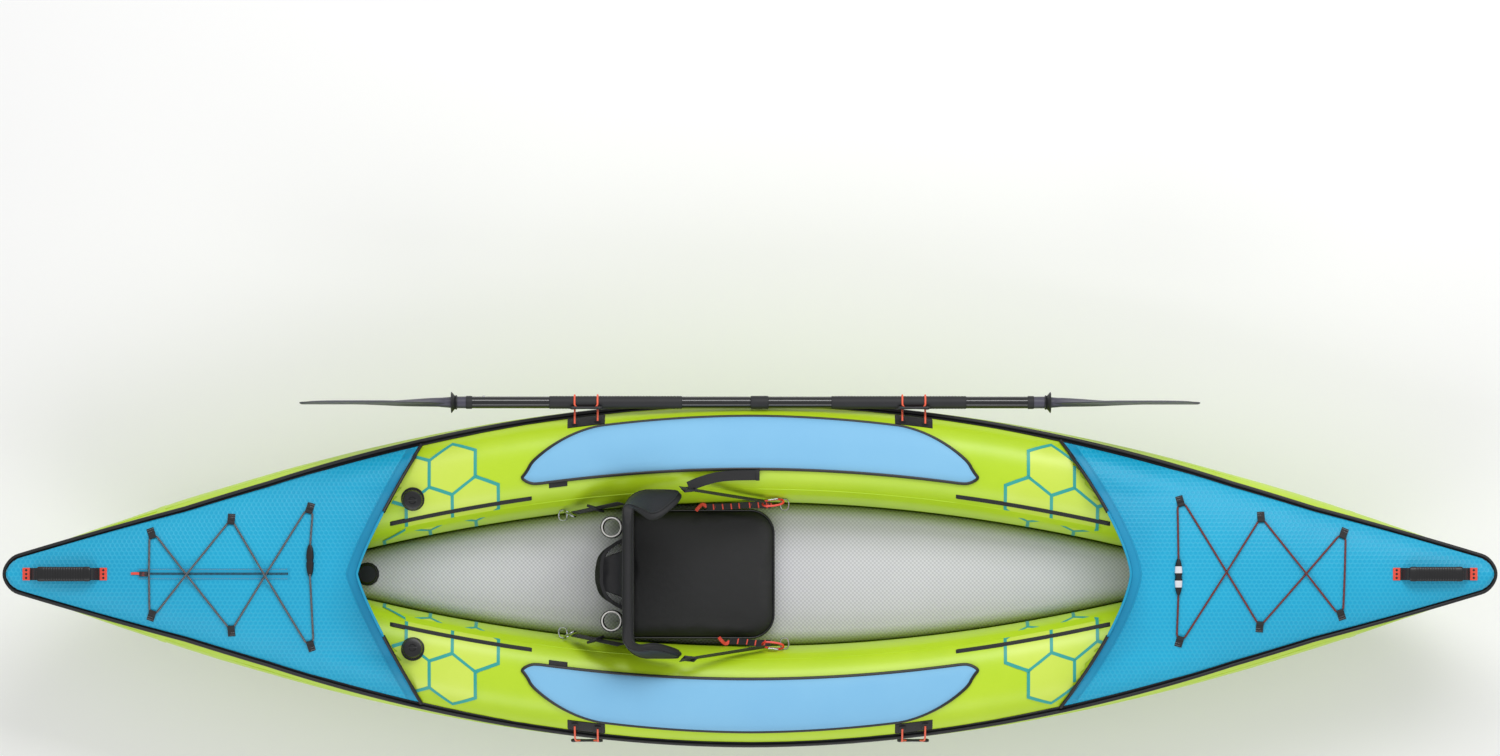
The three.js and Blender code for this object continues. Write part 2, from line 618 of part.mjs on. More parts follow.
// The deck bungee zigzags through its anchors and back, crossing itself on the ridge.
function deckBungee(anchors, underneath) {
  const port = anchors;
  const starboard = anchors.map(([x, y]) => [x, -y]);
  const corners = [port[0], starboard[1], port[2], starboard[2], port[1], starboard[0]];
  const perRun = 6;
  const path = corners.flatMap(([x0, y0], c) => {
    const [x1, y1] = corners[(c + 1) % corners.length];
    const crossesOver = c === 3 || c === 4;
    return steps(perRun).slice(0, -1).map((t) => {
      const [x, y] = [lerp(x0, x1, t), lerp(y0, y1, t)];
      const hump = crossesOver ? (2 * BUNGEE_RADIUS + 1) * Math.sin(Math.PI * t) ** 2 : 0;
      const lift = BUNGEE_RADIUS + 2 * CLEARANCE + (underneath + 1) * (1 - Math.abs(y / y0));
      return v(x, y, deckTop(x, y) + lift + hump);
    });
  });
  return loopTube(path, BUNGEE_RADIUS);
}

function finBox() {
  const { front, length, plate, plateWidth, plateThickness, width, height } = FIN_BOX;
  const top = -CLEARANCE - 0.1;
  const channelTop = top - plateThickness;
  const base = box(front - plate, front, -plateWidth / 2, plateWidth / 2, channelTop, top);
  const channel = box(front - length - 6, front - 6, -width / 2, width / 2, -height - 1, channelTop + 1);
  const flangeRoom = box(front - length - 10, front - 14, -FIN.flange / 2 - CLEARANCE, FIN.flange / 2 + CLEARANCE,
    channelTop - FIN.flangeHeight - 2 * CLEARANCE, channelTop);
  const slot = box(front - length - 10, front - 14, -FIN.thickness / 2 - CLEARANCE, FIN.thickness / 2 + CLEARANCE,
    -height - 5, channelTop - 1);
  return cut(join(base, channel), flangeRoom, slot);
}

function fin() {
  const { chord, sweep, depth, thickness, flange, flangeHeight } = FIN;
  const root = FIN_BOX.front - 14 - CLEARANCE;
  const flangeTop = -CLEARANCE - 0.1 - FIN_BOX.plateThickness - CLEARANCE;
  const exit = -FIN_BOX.height - 2;
  const outline = new THREE.Shape();
  outline.moveTo(root, flangeTop - 1);
  outline.lineTo(root, exit);
  outline.quadraticCurveTo(root - sweep * 0.42, -depth * 0.42, root - sweep, -depth);
  outline.quadraticCurveTo(root - sweep - 10, -depth + 4, root - sweep - 6, -depth + 14);
  outline.quadraticCurveTo(root - chord - 22, -depth * 0.55, root - chord, exit);
  outline.lineTo(root - chord, flangeTop - 1);
  const blade = new THREE.ExtrudeGeometry(outline, { depth: thickness, bevelEnabled: false, curveSegments: 5 })
    .translate(0, 0, -thickness / 2)
    .rotateX(Math.PI / 2);
  return join(blade, box(root - chord, root, -flange / 2, flange / 2, flangeTop - flangeHeight, flangeTop));
}

// ---- seat ----

function seatCushion() {
  const { front, back, sideGap, height, corner } = SEAT;
  const halfWidth = onTube(back, RING.inner).y - sideGap;
  const outline = new THREE.Shape();
  outline.moveTo(back, -halfWidth);
  outline.lineTo(front - corner, -halfWidth);
  outline.quadraticCurveTo(front, -halfWidth, front, corner - halfWidth);
  outline.lineTo(front, halfWidth - corner);
  outline.quadraticCurveTo(front, halfWidth, front - corner, halfWidth);
  outline.lineTo(back, halfWidth);
  return new THREE.ExtrudeGeometry(outline, { depth: height, bevelEnabled: false, curveSegments: 4 })
    .translate(0, 0, FLOOR_TOP + CLEARANCE);
}

// The seat back: a wrapped plan shape, trimmed by its side and front outlines.
function seatBack() {
  const { rear, thickness, halfWidth, wingFront, wingThickness } = BACK;
  const low = FLOOR_TOP + SEAT.height + 3 * CLEARANCE;
  const middle = rear + thickness / 2; // the foot narrows to the fold line, so the back can lean both ways
  const inner = halfWidth - wingThickness;
  const wrap = [[wingFront, halfWidth], [rear + 40, halfWidth], [rear, halfWidth - 30], [rear, 30 - halfWidth],
    [rear + 40, -halfWidth], [wingFront, -halfWidth], [wingFront, -inner], [rear + thickness + 30, -inner],
    [rear + thickness, 45 - halfWidth], [rear + thickness, halfWidth - 45], [rear + thickness + 30, inner],
    [wingFront, inner]];
  const plan = upright(wrap, low, BACK_TOP);
  const lean = rear + 60;
  const sideOutline = [[middle - 2, low], [middle + 2, low], [rear + thickness + 4, low + 20], [rear + 60, 250],
    [wingFront, 290], [wingFront, 305], [wingFront - 25, 345], [wingFront - 62, 392], [lean + 5, BACK_TOP], [rear - 5, BACK_TOP],
    [rear - 4, low + 20]];
  const between = onTube(rear, RING.inner).y - BACK_WAIST.sideGap;
  const waist = [[between, low - 5], [between, BACK_WAIST.from], [halfWidth + 5, BACK_WAIST.to],
    [halfWidth + 5, BACK_TOP - 60], [halfWidth - 30, BACK_TOP - 10], [halfWidth - 80, BACK_TOP + 5]];
  const frontOutline = [...waist, ...waist.slice().reverse().map(([y, z]) => [-y, z])];
  const front = upright(frontOutline, rear - 20, wingFront + 20).rotateX(Math.PI / 2).rotateZ(Math.PI / 2);
  return common(plan, standingPlate(sideOutline, 2 * halfWidth + 60), front);
}

function rodHolder() {
  const { outer, bore, rim, rimThickness, bottom, top } = ROD_HOLDER;
  const rimLow = top - rimThickness;
  return turned([[bore, bottom], [outer, bottom], [outer, rimLow], [rim, rimLow], [rim, top], [bore, top],
    [bore, bottom]], ROD_HOLDER.sides).translate(BACK.rear - CLEARANCE - rim, ROD_HOLDER.y, 0);
}

function seatPocket() {
  const { depth, halfWidth, bottom, top, wall } = POCKET;
  const front = BACK.rear - CLEARANCE;
  return cut(box(front - depth, front, -halfWidth, halfWidth, bottom, top),
    box(front - depth + wall, front - wall, wall - halfWidth, halfWidth - wall, bottom + wall, top + 5));
}

// A flat strap between two points, standing on edge.
function strap(from, to) {
  const { width, thickness } = STRAP;
  const along = to.clone().sub(from);
  const length = along.length();
  const piece = new THREE.BoxGeometry(length, thickness, width);
  const axis = along.clone().normalize();
  const side = v(0, 0, 1).cross(axis).normalize();
  const up = axis.clone().cross(side);
  const middle = from.clone().add(to).multiplyScalar(0.5);
  piece.applyMatrix4(new THREE.Matrix4().makeBasis(axis, side, up).setPosition(middle));
  return piece;
}

function frontStrap() {
  const anchor = onTube(100, RING.top + 3.1, 14.5);
  const wing = v(BACK.wingFront, BACK.halfWidth + STRAP.thickness / 2 + CLEARANCE + 0.2, 303);
  const beyond = wing.clone().sub(anchor).setLength(STRAP.width); // lies along the outside of the wing
  return strap(wing.add(beyond), anchor);
}

function rearStrap() {
  const start = v(BACK.rear - 10, BACK.halfWidth - 34, 350);
  const anchor = onTube(-462, RING.top + 3.1, 14);
  return strap(start, anchor);
}

// ---- paddle and its holders ----

const paddleFrame = new THREE.Group();
paddleFrame.position.set(0, PADDLE_Y, PADDLE_Z);
paddleFrame.rotation.y = radians(PADDLE_TILT);
kayak.add(paddleFrame);
const SHAFT_END = PADDLE_LENGTH / 2 - BLADE.length;

const alongX = (geometry) => geometry.rotateY(Math.PI / 2);

function shaftTube(from, to) {
  return alongX(turned([[SHAFT_BORE, from], [SHAFT_RADIUS, from], [SHAFT_RADIUS, to], [SHAFT_BORE, to],
    [SHAFT_BORE, from]], SHAFT_SIDES));
}

function bowShaft() {
  return shaftTube(CLEARANCE / 2, SHAFT_END);
}

// The stern half carries the ferrule that slips into the bow half.
function sternShaft() {
  const inside = SHAFT_BORE - 2;
  const fit = SHAFT_BORE * Math.cos(Math.PI / SHAFT_SIDES) - CLEARANCE / 2; // turns inside the bore's flats
  const half = turned([[SHAFT_BORE, -SHAFT_END], [SHAFT_RADIUS, -SHAFT_END], [SHAFT_RADIUS, -CLEARANCE / 2],
    [fit, -CLEARANCE / 2], [fit, FERRULE_LENGTH], [inside, FERRULE_LENGTH], [inside, -FERRULE_LENGTH],
    [SHAFT_BORE, -FERRULE_LENGTH - 4], [SHAFT_BORE, -SHAFT_END]], SHAFT_SIDES);
  const buttonHole = straightRod(v(BUTTON.x, SHAFT_BORE / 2, 0), v(BUTTON.x, SHAFT_RADIUS + 5, 0),
    BUTTON.radius + CLEARANCE, 8);
  return cut(alongX(half), buttonHole);
}

// A blade with its neck and plug, for the bow end; the stern blade is the same piece turned end for end.
function blade() {
  const { length, width, thickness, plug } = BLADE;
  const outline = new THREE.Shape();
  const tip = SHAFT_END + length;
  outline.moveTo(SHAFT_END + 20, -8);
  outline.bezierCurveTo(SHAFT_END + 110, -16, SHAFT_END + 130, -width / 2, SHAFT_END + 220, -width / 2);
  outline.lineTo(tip - 60, -width / 2);
  outline.quadraticCurveTo(tip - 8, -width / 2, tip - 6, -width / 4);
  outline.quadraticCurveTo(tip + 4, width / 8, tip - 22, width / 3);
  outline.quadraticCurveTo(tip - 34, width / 2, tip - 80, width / 2);
  outline.lineTo(SHAFT_END + 200, width / 2);
  outline.bezierCurveTo(SHAFT_END + 120, width / 2, SHAFT_END + 100, 16, SHAFT_END + 20, 8);
  const face = new THREE.ExtrudeGeometry(outline, { depth: thickness, bevelEnabled: false, curveSegments: 4 })
    .translate(0, 0, -thickness / 2)
    .rotateX(Math.PI / 2);
  const fit = SHAFT_BORE - CLEARANCE;
  const neck = alongX(turned([[0, SHAFT_END - plug], [fit, SHAFT_END - plug], [fit, SHAFT_END + CLEARANCE],
    [SHAFT_RADIUS, SHAFT_END + CLEARANCE], [SHAFT_RADIUS, SHAFT_END + 40], [5, SHAFT_END + length * 0.62],
    [0, SHAFT_END + length * 0.64]], SHAFT_SIDES));
  return join(face, neck);
}

function sternBlade() {
  const turnedOver = blade().rotateY(Math.PI);
  const recess = straightRod(v(BUTTON.x, 2, 0), v(BUTTON.x, SHAFT_RADIUS + 5, 0), BUTTON.radius + CLEARANCE, 8);
  return cut(turnedOver, recess);
}

function bladeButton() {
  return straightRod(v(BUTTON.x, 6, 0), v(BUTTON.x, SHAFT_RADIUS + BUTTON.proud, 0), BUTTON.radius, 8);
}

function holderPatch(x) {
  return tubePatch(x - HOLDER.length / 2, x + HOLDER.length / 2, 0.35, 1.2, HOLDER.thickness);
}

// Port: two bungee rings round the shaft, tied by their toggle, with a leg down to the patch.
function closedLoop(x) {
  const ringRadius = SHAFT_RADIUS + CLEARANCE + BUNGEE_RADIUS + 0.2;
  const pieces = [];
  const toggleAt = v(0, ringRadius * 0.75, ringRadius * 0.85);
  const frame = paddleFrame.matrix.compose(paddleFrame.position, paddleFrame.quaternion, paddleFrame.scale);
  for (const side of [-1, 1]) {
    const at = x + (side * HOLDER.loopSpacing) / 2;
    pieces.push(new THREE.TorusGeometry(ringRadius, BUNGEE_RADIUS, 6, 16).rotateY(Math.PI / 2).translate(at, 0, 0));
    const foot = onTube(at, 1, HOLDER.thickness + 3 * CLEARANCE + 1.6).applyMatrix4(frame.clone().invert());
    pieces.push(straightRod(foot, v(at, -ringRadius * 0.9, -ringRadius * 0.3),
      BUNGEE_RADIUS));
  }
  pieces.push(straightRod(toggleAt.clone().setX(x - HOLDER.toggleLength / 2),
    toggleAt.clone().setX(x + HOLDER.toggleLength / 2), HOLDER.toggleRadius, 8));
  return join(...pieces);
}

// Starboard: the same bungee hanging free over the gunwale, drawn on the port side and mirrored.
function hangingLoop(x) {
  const pieces = [];
  const bottom = v(x, onTube(x, RING.end - 2).y + 15, SEAM_HEIGHT - 62);
  for (const side of [-1, 1]) {
    const at = x + (side * HOLDER.loopSpacing) / 2;
    const start = onTube(at, 0.9, HOLDER.thickness + 2 * CLEARANCE + BUNGEE_RADIUS + 0.2);
    const over = onTube(at, 0, 2 * PIPING_RADIUS + BUNGEE_RADIUS + 4);
    const down = onTube(at, RING.end - 1, 12);
    const low = bottom.clone().setX(lerp(x, at, 0.8));
    pieces.push(rod(new THREE.CatmullRomCurve3([start, over, down, low]), BUNGEE_RADIUS, 12));
  }
  pieces.push(straightRod(bottom.clone().setX(x - HOLDER.toggleLength / 2),
    bottom.clone().setX(x + HOLDER.toggleLength / 2), HOLDER.toggleRadius, 8));
  return join(...pieces);
}

// ---- assembly ----

add("bottom_skin", bottomSkin(), LIME);
const valve = valveFrame();
const valveCut = seated(valveHole(VALVE.depth + 16), valve);
const cover = cut(tubeSkin(RING.seam, RING.floorLine), valveCut);
const chamber = cut(bladder(), valveCut);
const side = tubeSkin(RING.chine, RING.end - 0.03);
const cushionPad = pad();
for (const [name, mirror] of [["port", false], ["starboard", true]]) {
  add(name + "_side_skin", side, LIME, kayak, mirror);
  add(name + "_tube_cover", cover, LIME, kayak, mirror);
  add(name + "_bladder", chamber, GREY, kayak, mirror);
  add(name + "_pad", cushionPad, SKY, kayak, mirror);
  add(name + "_bow_zip", tubeZip(1), BLACK, kayak, mirror);
  add(name + "_stern_zip", tubeZip(-1), BLACK, kayak, mirror);
  add(name + "_valve_body", seated(valveBody(), valve), RUBBER_GREY, kayak, mirror);
  add(name + "_valve_cap", seated(valveCap(), valve), BLACK_PLASTIC, kayak, mirror);
  add(name + "_valve_plunger", seated(valvePlunger(), valve), RUBBER_GREY, kayak, mirror);
  add(name + "_rod_holder", rodHolder(), BLACK_PLASTIC, kayak, mirror);
  add(name + "_front_strap", frontStrap(), BLACK, kayak, mirror);
  add(name + "_rear_strap", rearStrap(), BLACK, kayak, mirror);
  HOLDER_X.forEach((x) => add(name + (x > 0 ? "_bow" : "_stern") + "_holder_patch", holderPatch(x), BLACK,
    kayak, mirror));
}
let floorValveX = FLOOR_VALVE_X;
while (onTube(floorValveX, RING.inner).y < VALVE.flange * 1.6) floorValveX += 10;
const floorValve = { centre: v(floorValveX, 0, FLOOR_TOP), normal: v(0, 0, 1) };
add("floor_chamber", cut(floorChamber(), seated(valveHole(VALVE.depth + 16), floorValve)), GREY);
add("floor_valve_body", seated(valveBody(), floorValve), RUBBER_GREY);
add("floor_valve_cap", seated(valveCap(), floorValve), BLACK_PLASTIC);
for (const [name, sign, coaming, anchors] of [["bow", 1, BOW_COAMING, BOW_ANCHORS],
  ["stern", -1, STERN_COAMING, STERN_ANCHORS]]) {
  add(name + "_deck", deck(sign, coaming), BLUE);
  add(name + "_visor", visor(sign, coaming), BLUE);
  add(name + "_handle_strap", handleStrap(sign), BLACK);
  add(name + "_handle_grip", handleGrip(sign), BLACK_PLASTIC);
  add(name + "_bungee", deckBungee(anchors, sign < 0 ? ZIP_THICKNESS + 2 * CLEARANCE : 0), CORAL);
  const x = HOLDER_X[sign > 0 ? 1 : 0];
  add("port_" + name + "_holder_loop", closedLoop(x), CORAL, paddleFrame);
  add("starboard_" + name + "_holder_loop", hangingLoop(x), CORAL, kayak, true);
}
add("gunwale_piping", gunwalePiping(), BLACK);
add("stern_deck_zip", deckZip(), BLACK);
add("zip_slider", zipSlider(), BLACK_PLASTIC);
add("fin_box", finBox(), BLACK_PLASTIC);
add("fin", fin(), FIN_ORANGE);
add("seat_cushion", seatCushion(), BLACK);
add("seat_back", seatBack(), BLACK);
add("seat_pocket", seatPocket(), BLACK);
add("paddle_shaft_bow", bowShaft(), BLACK_PLASTIC, paddleFrame);
add("paddle_shaft_stern", sternShaft(), BLACK_PLASTIC, paddleFrame);
add("bow_blade", blade(), SLATE, paddleFrame);
add("stern_blade", sternBlade(), SLATE, paddleFrame);
add("blade_button", bladeButton(), RUBBER_GREY, paddleFrame);

export default kayak;
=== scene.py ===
import math

import bmesh
import bpy
from mathutils import Matrix, Vector, noise


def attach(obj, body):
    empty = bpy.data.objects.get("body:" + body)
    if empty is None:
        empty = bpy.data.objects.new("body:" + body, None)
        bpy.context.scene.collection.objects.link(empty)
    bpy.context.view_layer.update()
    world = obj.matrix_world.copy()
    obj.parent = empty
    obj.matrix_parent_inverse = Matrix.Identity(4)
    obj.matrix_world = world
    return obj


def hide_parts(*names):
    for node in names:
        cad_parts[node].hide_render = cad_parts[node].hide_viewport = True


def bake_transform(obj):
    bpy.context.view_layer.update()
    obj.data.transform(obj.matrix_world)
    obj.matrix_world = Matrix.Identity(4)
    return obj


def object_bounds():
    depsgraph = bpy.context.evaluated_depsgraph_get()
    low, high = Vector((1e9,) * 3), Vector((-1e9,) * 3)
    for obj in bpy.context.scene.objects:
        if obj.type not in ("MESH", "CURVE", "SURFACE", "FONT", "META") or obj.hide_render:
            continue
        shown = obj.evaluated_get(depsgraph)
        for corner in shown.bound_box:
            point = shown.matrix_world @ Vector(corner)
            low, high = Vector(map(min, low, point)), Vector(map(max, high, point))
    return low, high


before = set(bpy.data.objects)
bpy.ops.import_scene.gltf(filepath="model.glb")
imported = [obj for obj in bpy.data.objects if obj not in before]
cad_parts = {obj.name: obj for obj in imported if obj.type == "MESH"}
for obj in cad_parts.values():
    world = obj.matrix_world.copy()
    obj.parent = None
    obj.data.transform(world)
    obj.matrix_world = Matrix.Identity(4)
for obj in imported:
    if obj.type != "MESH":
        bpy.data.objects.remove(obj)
cadBounds = [list(corner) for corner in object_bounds()]
print("frame loaded")

# camera and light

view = {"focal": 200, "sensor": 36, "frameWidth": 3.6697, "shift": 0.1307, "skyStrength": 0.62,
        "keyPower": 144, "fillPower": 67.2}


def makeCamera():
    data = bpy.data.cameras.new("plan_camera")
    data.lens = view["focal"]
    data.sensor_width = view["sensor"]
    data.clip_end = 100
    data.shift_y = view["shift"]
    camera = bpy.data.objects.new("plan_camera", data)
    bpy.context.scene.collection.objects.link(camera)
    camera.location = (0.0, 0.0, view["frameWidth"] * view["focal"] / view["sensor"] + 0.2)
    bpy.context.scene.camera = camera


def makeLight(name, place, target, size, power):
    data = bpy.data.lights.new(name, "AREA")
    data.shape = "RECTANGLE"
    data.size, data.size_y = size
    data.energy = power
    lamp = bpy.data.objects.new(name, data)
    lamp.location = place
    lamp.rotation_euler = (Vector(target) - Vector(place)).to_track_quat("-Z", "Y").to_euler()
    bpy.context.scene.collection.objects.link(lamp)


def makeStage():
    world = bpy.data.worlds.new("studio")
    world.use_nodes = True
    sky = world.node_tree.nodes["Background"]
    sky.inputs["Color"].default_value = (1, 1, 1, 1)
    sky.inputs["Strength"].default_value = view["skyStrength"]
    bpy.context.scene.world = world
    bpy.context.scene.view_settings.view_transform = "Standard"
    makeLight("key_light", (0.9, 3.4, 4.2), (0, 0, 0.1), (5.0, 1.6), view["keyPower"])
    makeLight("fill_light", (-0.6, -3.6, 3.6), (0, 0, 0.1), (5.0, 2.0), view["fillPower"])
    bm = bmesh.new()
    bmesh.ops.create_grid(bm, x_segments=1, y_segments=1, size=30)
    floor = meshObject("studio_floor", bm)
    floor.location.z = cadBounds[0][2] - 0.012
    paint = bpy.data.materials.new("studio_floor")
    paint.use_nodes = True
    shader = paint.node_tree.nodes["Principled BSDF"]
    shader.inputs["Base Color"].default_value = (0.93, 0.93, 0.93, 1)
    shader.inputs["Roughness"].default_value = 0.9
    shader.inputs["Specular IOR Level"].default_value = 0.1
    floor.data.materials.append(paint)


# small helpers

def lerp(a, b, t):
    return a + (b - a) * t


def clamp(value, low, high):
    return max(low, min(high, value))


def smoothStep(t):
    t = clamp(t, 0, 1)
    return t * t * (3 - 2 * t)


def signedPower(value, power):
    return math.copysign(abs(value) ** power, value)


def spaced(a, b, count):
    return [lerp(a, b, i / count) for i in range(count + 1)]


def meshObject(name, bm, angle=40):
    mesh = bpy.data.meshes.new(name)
    bm.to_mesh(mesh)
    bm.free()
    mesh.shade_smooth()
    mesh.set_sharp_from_angle(angle=math.radians(angle))
    piece = bpy.data.objects.new(name, mesh)
    bpy.context.scene.collection.objects.link(piece)
    return piece


# Gives a piece its mesh and materials and, where it stands for CAD nodes, hides them.
def dressPiece(name, bm, materials, stands, angle, outward):
    bmesh.ops.remove_doubles(bm, verts=bm.verts, dist=2e-6)
    if outward:
        bmesh.ops.recalc_face_normals(bm, faces=bm.faces)
    piece = meshObject(name, bm, angle)
    for each in materials if isinstance(materials, list) else [materials]:
        piece.data.materials.append(finishes[each])
    if stands:
        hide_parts(*stands)
    return piece


def makePiece(name, bm, materials, body="hull", stands=(), angle=40, outward=True):
    piece = dressPiece(name, bm, materials, stands, angle, outward)
    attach(piece, body)
    return piece


# A piece of fabric that crosses a joint between two bodies; it is built in place and attached to neither.
def crossingPiece(name, bm, materials, start, end, stands=()):
    piece = dressPiece(name, bm, materials, stands, 40, True)
    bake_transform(piece)


def addWall(piece, thickness, offset=-1):
    wall = piece.modifiers.new("thickness", "SOLIDIFY")
    wall.thickness, wall.offset = thickness, offset


# Merges the doubled seam of a bent grid and closes its open ends.
def sealEnds(bm, reach=1e-6):
    bmesh.ops.remove_doubles(bm, verts=bm.verts, dist=reach)
    bmesh.ops.holes_fill(bm, edges=[edge for edge in bm.edges if edge.is_boundary], sides=0)


def areaOf(bm):
    return sum(face.calc_area() for face in bm.faces)


# A grid bent to a table of points, with a UV map in metres.
def gridMesh(points, uvs=None, bm=None, material=0):
    columns, rows = len(points) - 1, len(points[0]) - 1
    part = bmesh.new()
    bmesh.ops.create_grid(part, x_segments=columns, y_segments=rows, size=1)
    layer = part.loops.layers.uv.new("UVMap")
    for face in part.faces:
        face.material_index = material
        for loop in face.loops:
            i, j = gridIndex(loop.vert.co, columns, rows)
            loop[layer].uv = uvs[i][j] if uvs else (points[i][j][0], points[i][j][1])
    for vert in part.verts:
        i, j = gridIndex(vert.co, columns, rows)
        vert.co = points[i][j]
    if bm is None:
        return part
    return joinInto(bm, part)


def gridIndex(co, columns, rows):
    return round((co.x + 1) / 2 * columns), round((co.y + 1) / 2 * rows)


def joinInto(bm, part):
    holder = bpy.data.meshes.new("holder")
    part.to_mesh(holder)
    part.free()
    bm.from_mesh(holder)
    bpy.data.meshes.remove(holder)
    return bm


# Turns an open sheet so that its faces look along a direction.
def faceAlong(bm, direction):
    bm.normal_update()
    total = sum((face.normal * face.calc_area() for face in bm.faces), Vector())
    if total.dot(Vector(direction)) < 0:
        bmesh.ops.reverse_faces(bm, faces=bm.faces)
    return bm


# Carries a flat profile [(side, up), ...] along a path; up is a vector, or one for each point.
def sweep(path, profile, up=(0, 0, 1), loop=False, bm=None, material=0, grow=None, twist=None):
    path = [Vector(p) for p in path]
    count = len(path)
    ups = [Vector(up)] * count if isinstance(up, tuple) else [Vector(u) for u in up]
    points, uvs, run = [], [], 0.0
    around = [0.0]
    ring = list(profile) + [profile[0]]
    for a, b in zip(ring, ring[1:]):
        around.append(around[-1] + math.dist(a, b))
    last = None
    for i in range(count + (1 if loop else 0)):
        here = path[i % count]
        ahead = path[(i + 1) % count] if loop or i < count - 1 else path[i]
        behind = path[(i - 1) % count] if loop or i > 0 else path[i]
        tangent = (ahead - behind).normalized()
        above = ups[i % count]
        side = above.cross(tangent)
        if side.length < 1e-4:
            side = last.copy() if last else tangent.orthogonal()
        side.normalize()
        last = side
        rise = tangent.cross(side).normalized()
        if twist:
            turn = Matrix.Rotation(twist(i / max(1, count - 1)), 3, tangent)
            side, rise = turn @ side, turn @ rise
        if i:
            run += (here - path[(i - 1) % count]).length
        size = grow(i / max(1, count - 1)) if grow else 1.0
        points.append([here + side * a * size + rise * b * size for a, b in ring])
        uvs.append([(run, s) for s in around])
    part = gridMesh(points, uvs, None, material)
    bmesh.ops.remove_doubles(part, verts=part.verts, dist=1e-6)
    if not loop:
        openEdges = [edge for edge in part.edges if edge.is_boundary]
        made = bmesh.ops.holes_fill(part, edges=openEdges, sides=0)["faces"]
        for face in made:
            face.material_index = material
    bmesh.ops.recalc_face_normals(part, faces=part.faces)
    return part if bm is None else joinInto(bm, part)


def circleProfile(radius, sides=10, flat=1.0):
    return [(radius * math.cos(2 * math.pi * j / sides), radius * flat * math.sin(2 * math.pi * j / sides))
            for j in range(sides)]


def bandProfile(width, thickness):
    a, b, c = width / 2, thickness / 2, thickness * 0.3
    return [(-a + c, -b), (a - c, -b), (a, -b + c), (a, b - c), (a - c, b), (-a + c, b), (-a, b - c), (-a, -b + c)]


# Points along a smooth curve through the given ones.
def smoothPath(points, perRun=8, loop=False):
    points = [Vector(p) for p in points]
    count = len(points)
    made = []
    for i in range(count if loop else count - 1):
        at = [points[(i + k) % count] if loop else points[clamp(i + k, 0, count - 1)] for k in (-1, 0, 1, 2)]
        for step in range(perRun):
            t = step / perRun
            made.append(0.5 * ((2 * at[1]) + (at[2] - at[0]) * t + (2 * at[0] - 5 * at[1] + 4 * at[2] - at[3]) * t * t
                               + (3 * at[1] - at[0] - 3 * at[2] + at[3]) * t ** 3))
    if not loop:
        made.append(points[-1])
    return made


# A round piece about Z from a profile of (radius, height), then placed by a matrix.
def turned(profile, steps=32, place=None, bm=None, material=0):
    part = bmesh.new()
    verts = [part.verts.new((r, 0, z)) for r, z in profile]
    edges = [part.edges.new(pair) for pair in zip(verts, verts[1:])]
    bmesh.ops.spin(part, geom=verts + edges, cent=(0, 0, 0), axis=(0, 0, 1), angle=2 * math.pi, steps=steps,
                   use_merge=True, use_duplicate=False)
    bmesh.ops.remove_doubles(part, verts=part.verts, dist=1e-6)
    bmesh.ops.recalc_face_normals(part, faces=part.faces)
    for face in part.faces:
        face.material_index = material
    if place is not None:
        bmesh.ops.transform(part, matrix=place, verts=part.verts)
    return part if bm is None else joinInto(bm, part)


def block(size, bevel, place=None, bm=None, material=0, segments=3):
    part = bmesh.new()
    bmesh.ops.create_cube(part, size=1)
    bmesh.ops.scale(part, vec=size, verts=part.verts)
    if bevel:
        bmesh.ops.bevel(part, geom=part.edges[:], offset=bevel, segments=segments, profile=0.5, affect="EDGES",
                        material=-1, clamp_overlap=True)
    for face in part.faces:
        face.material_index = material
    if place is not None:
        bmesh.ops.transform(part, matrix=place, verts=part.verts)
    return part if bm is None else joinInto(bm, part)


# A matrix that stands a piece at a point with its Z along one direction and its X near another.
def standing(point, up, along=(1, 0, 0)):
    z = Vector(up).normalized()
    x = Vector(along)
    x = (x - z * x.dot(z)).normalized()
    y = z.cross(x)
    return Matrix.Translation(Vector(point)) @ Matrix((x, y, z)).transposed().to_4x4()


# hull form, the same as the frame's

hull = {"length": 3.66, "beam": 0.844, "noseRadius": 0.03, "tipOffset": 0.057, "outlinePower": 0.92,
        "tubeWidth": 0.245, "tubeHeight": 0.28, "heightAtTip": 0.222, "sweepStart": 0.45, "squareness": 2.4,
        "seamHeight": 0.201, "stemRise": 0.205, "stemSweep": 0.115, "rockerRise": 0.012, "rockerLength": 0.65,
        "tipInset": 0.011, "ridgeAtTip": 0.229, "ridgeAtCockpit": 0.265, "ridgeLength": 0.95}
halfLength = hull["length"] / 2
skinHalf = halfLength - hull["tipInset"]
ringKnots = [(0, None), (3, 0.5), (7, 1.0), (9, 1.25), (11, 1.5), (12, 5 / 3), (16, None)]


def beamAt(fromTip):
    share = (fromTip + hull["tipOffset"]) / (halfLength + hull["tipOffset"])
    rounding = clamp(1 - (fromTip - hull["tipInset"]) / hull["noseRadius"], 0, 1)
    return hull["beam"] / 2 * math.sin(math.pi / 2 * share) ** hull["outlinePower"] * math.sqrt(1 - rounding ** 2)


def keelAt(fromTip):
    if fromTip >= hull["rockerLength"]:
        return 0.0
    fade = math.exp(-fromTip / hull["stemSweep"]) - math.exp(-hull["rockerLength"] / hull["stemSweep"])
    return hull["stemRise"] * fade + hull["rockerRise"] * (1 - fromTip / hull["rockerLength"]) ** 2


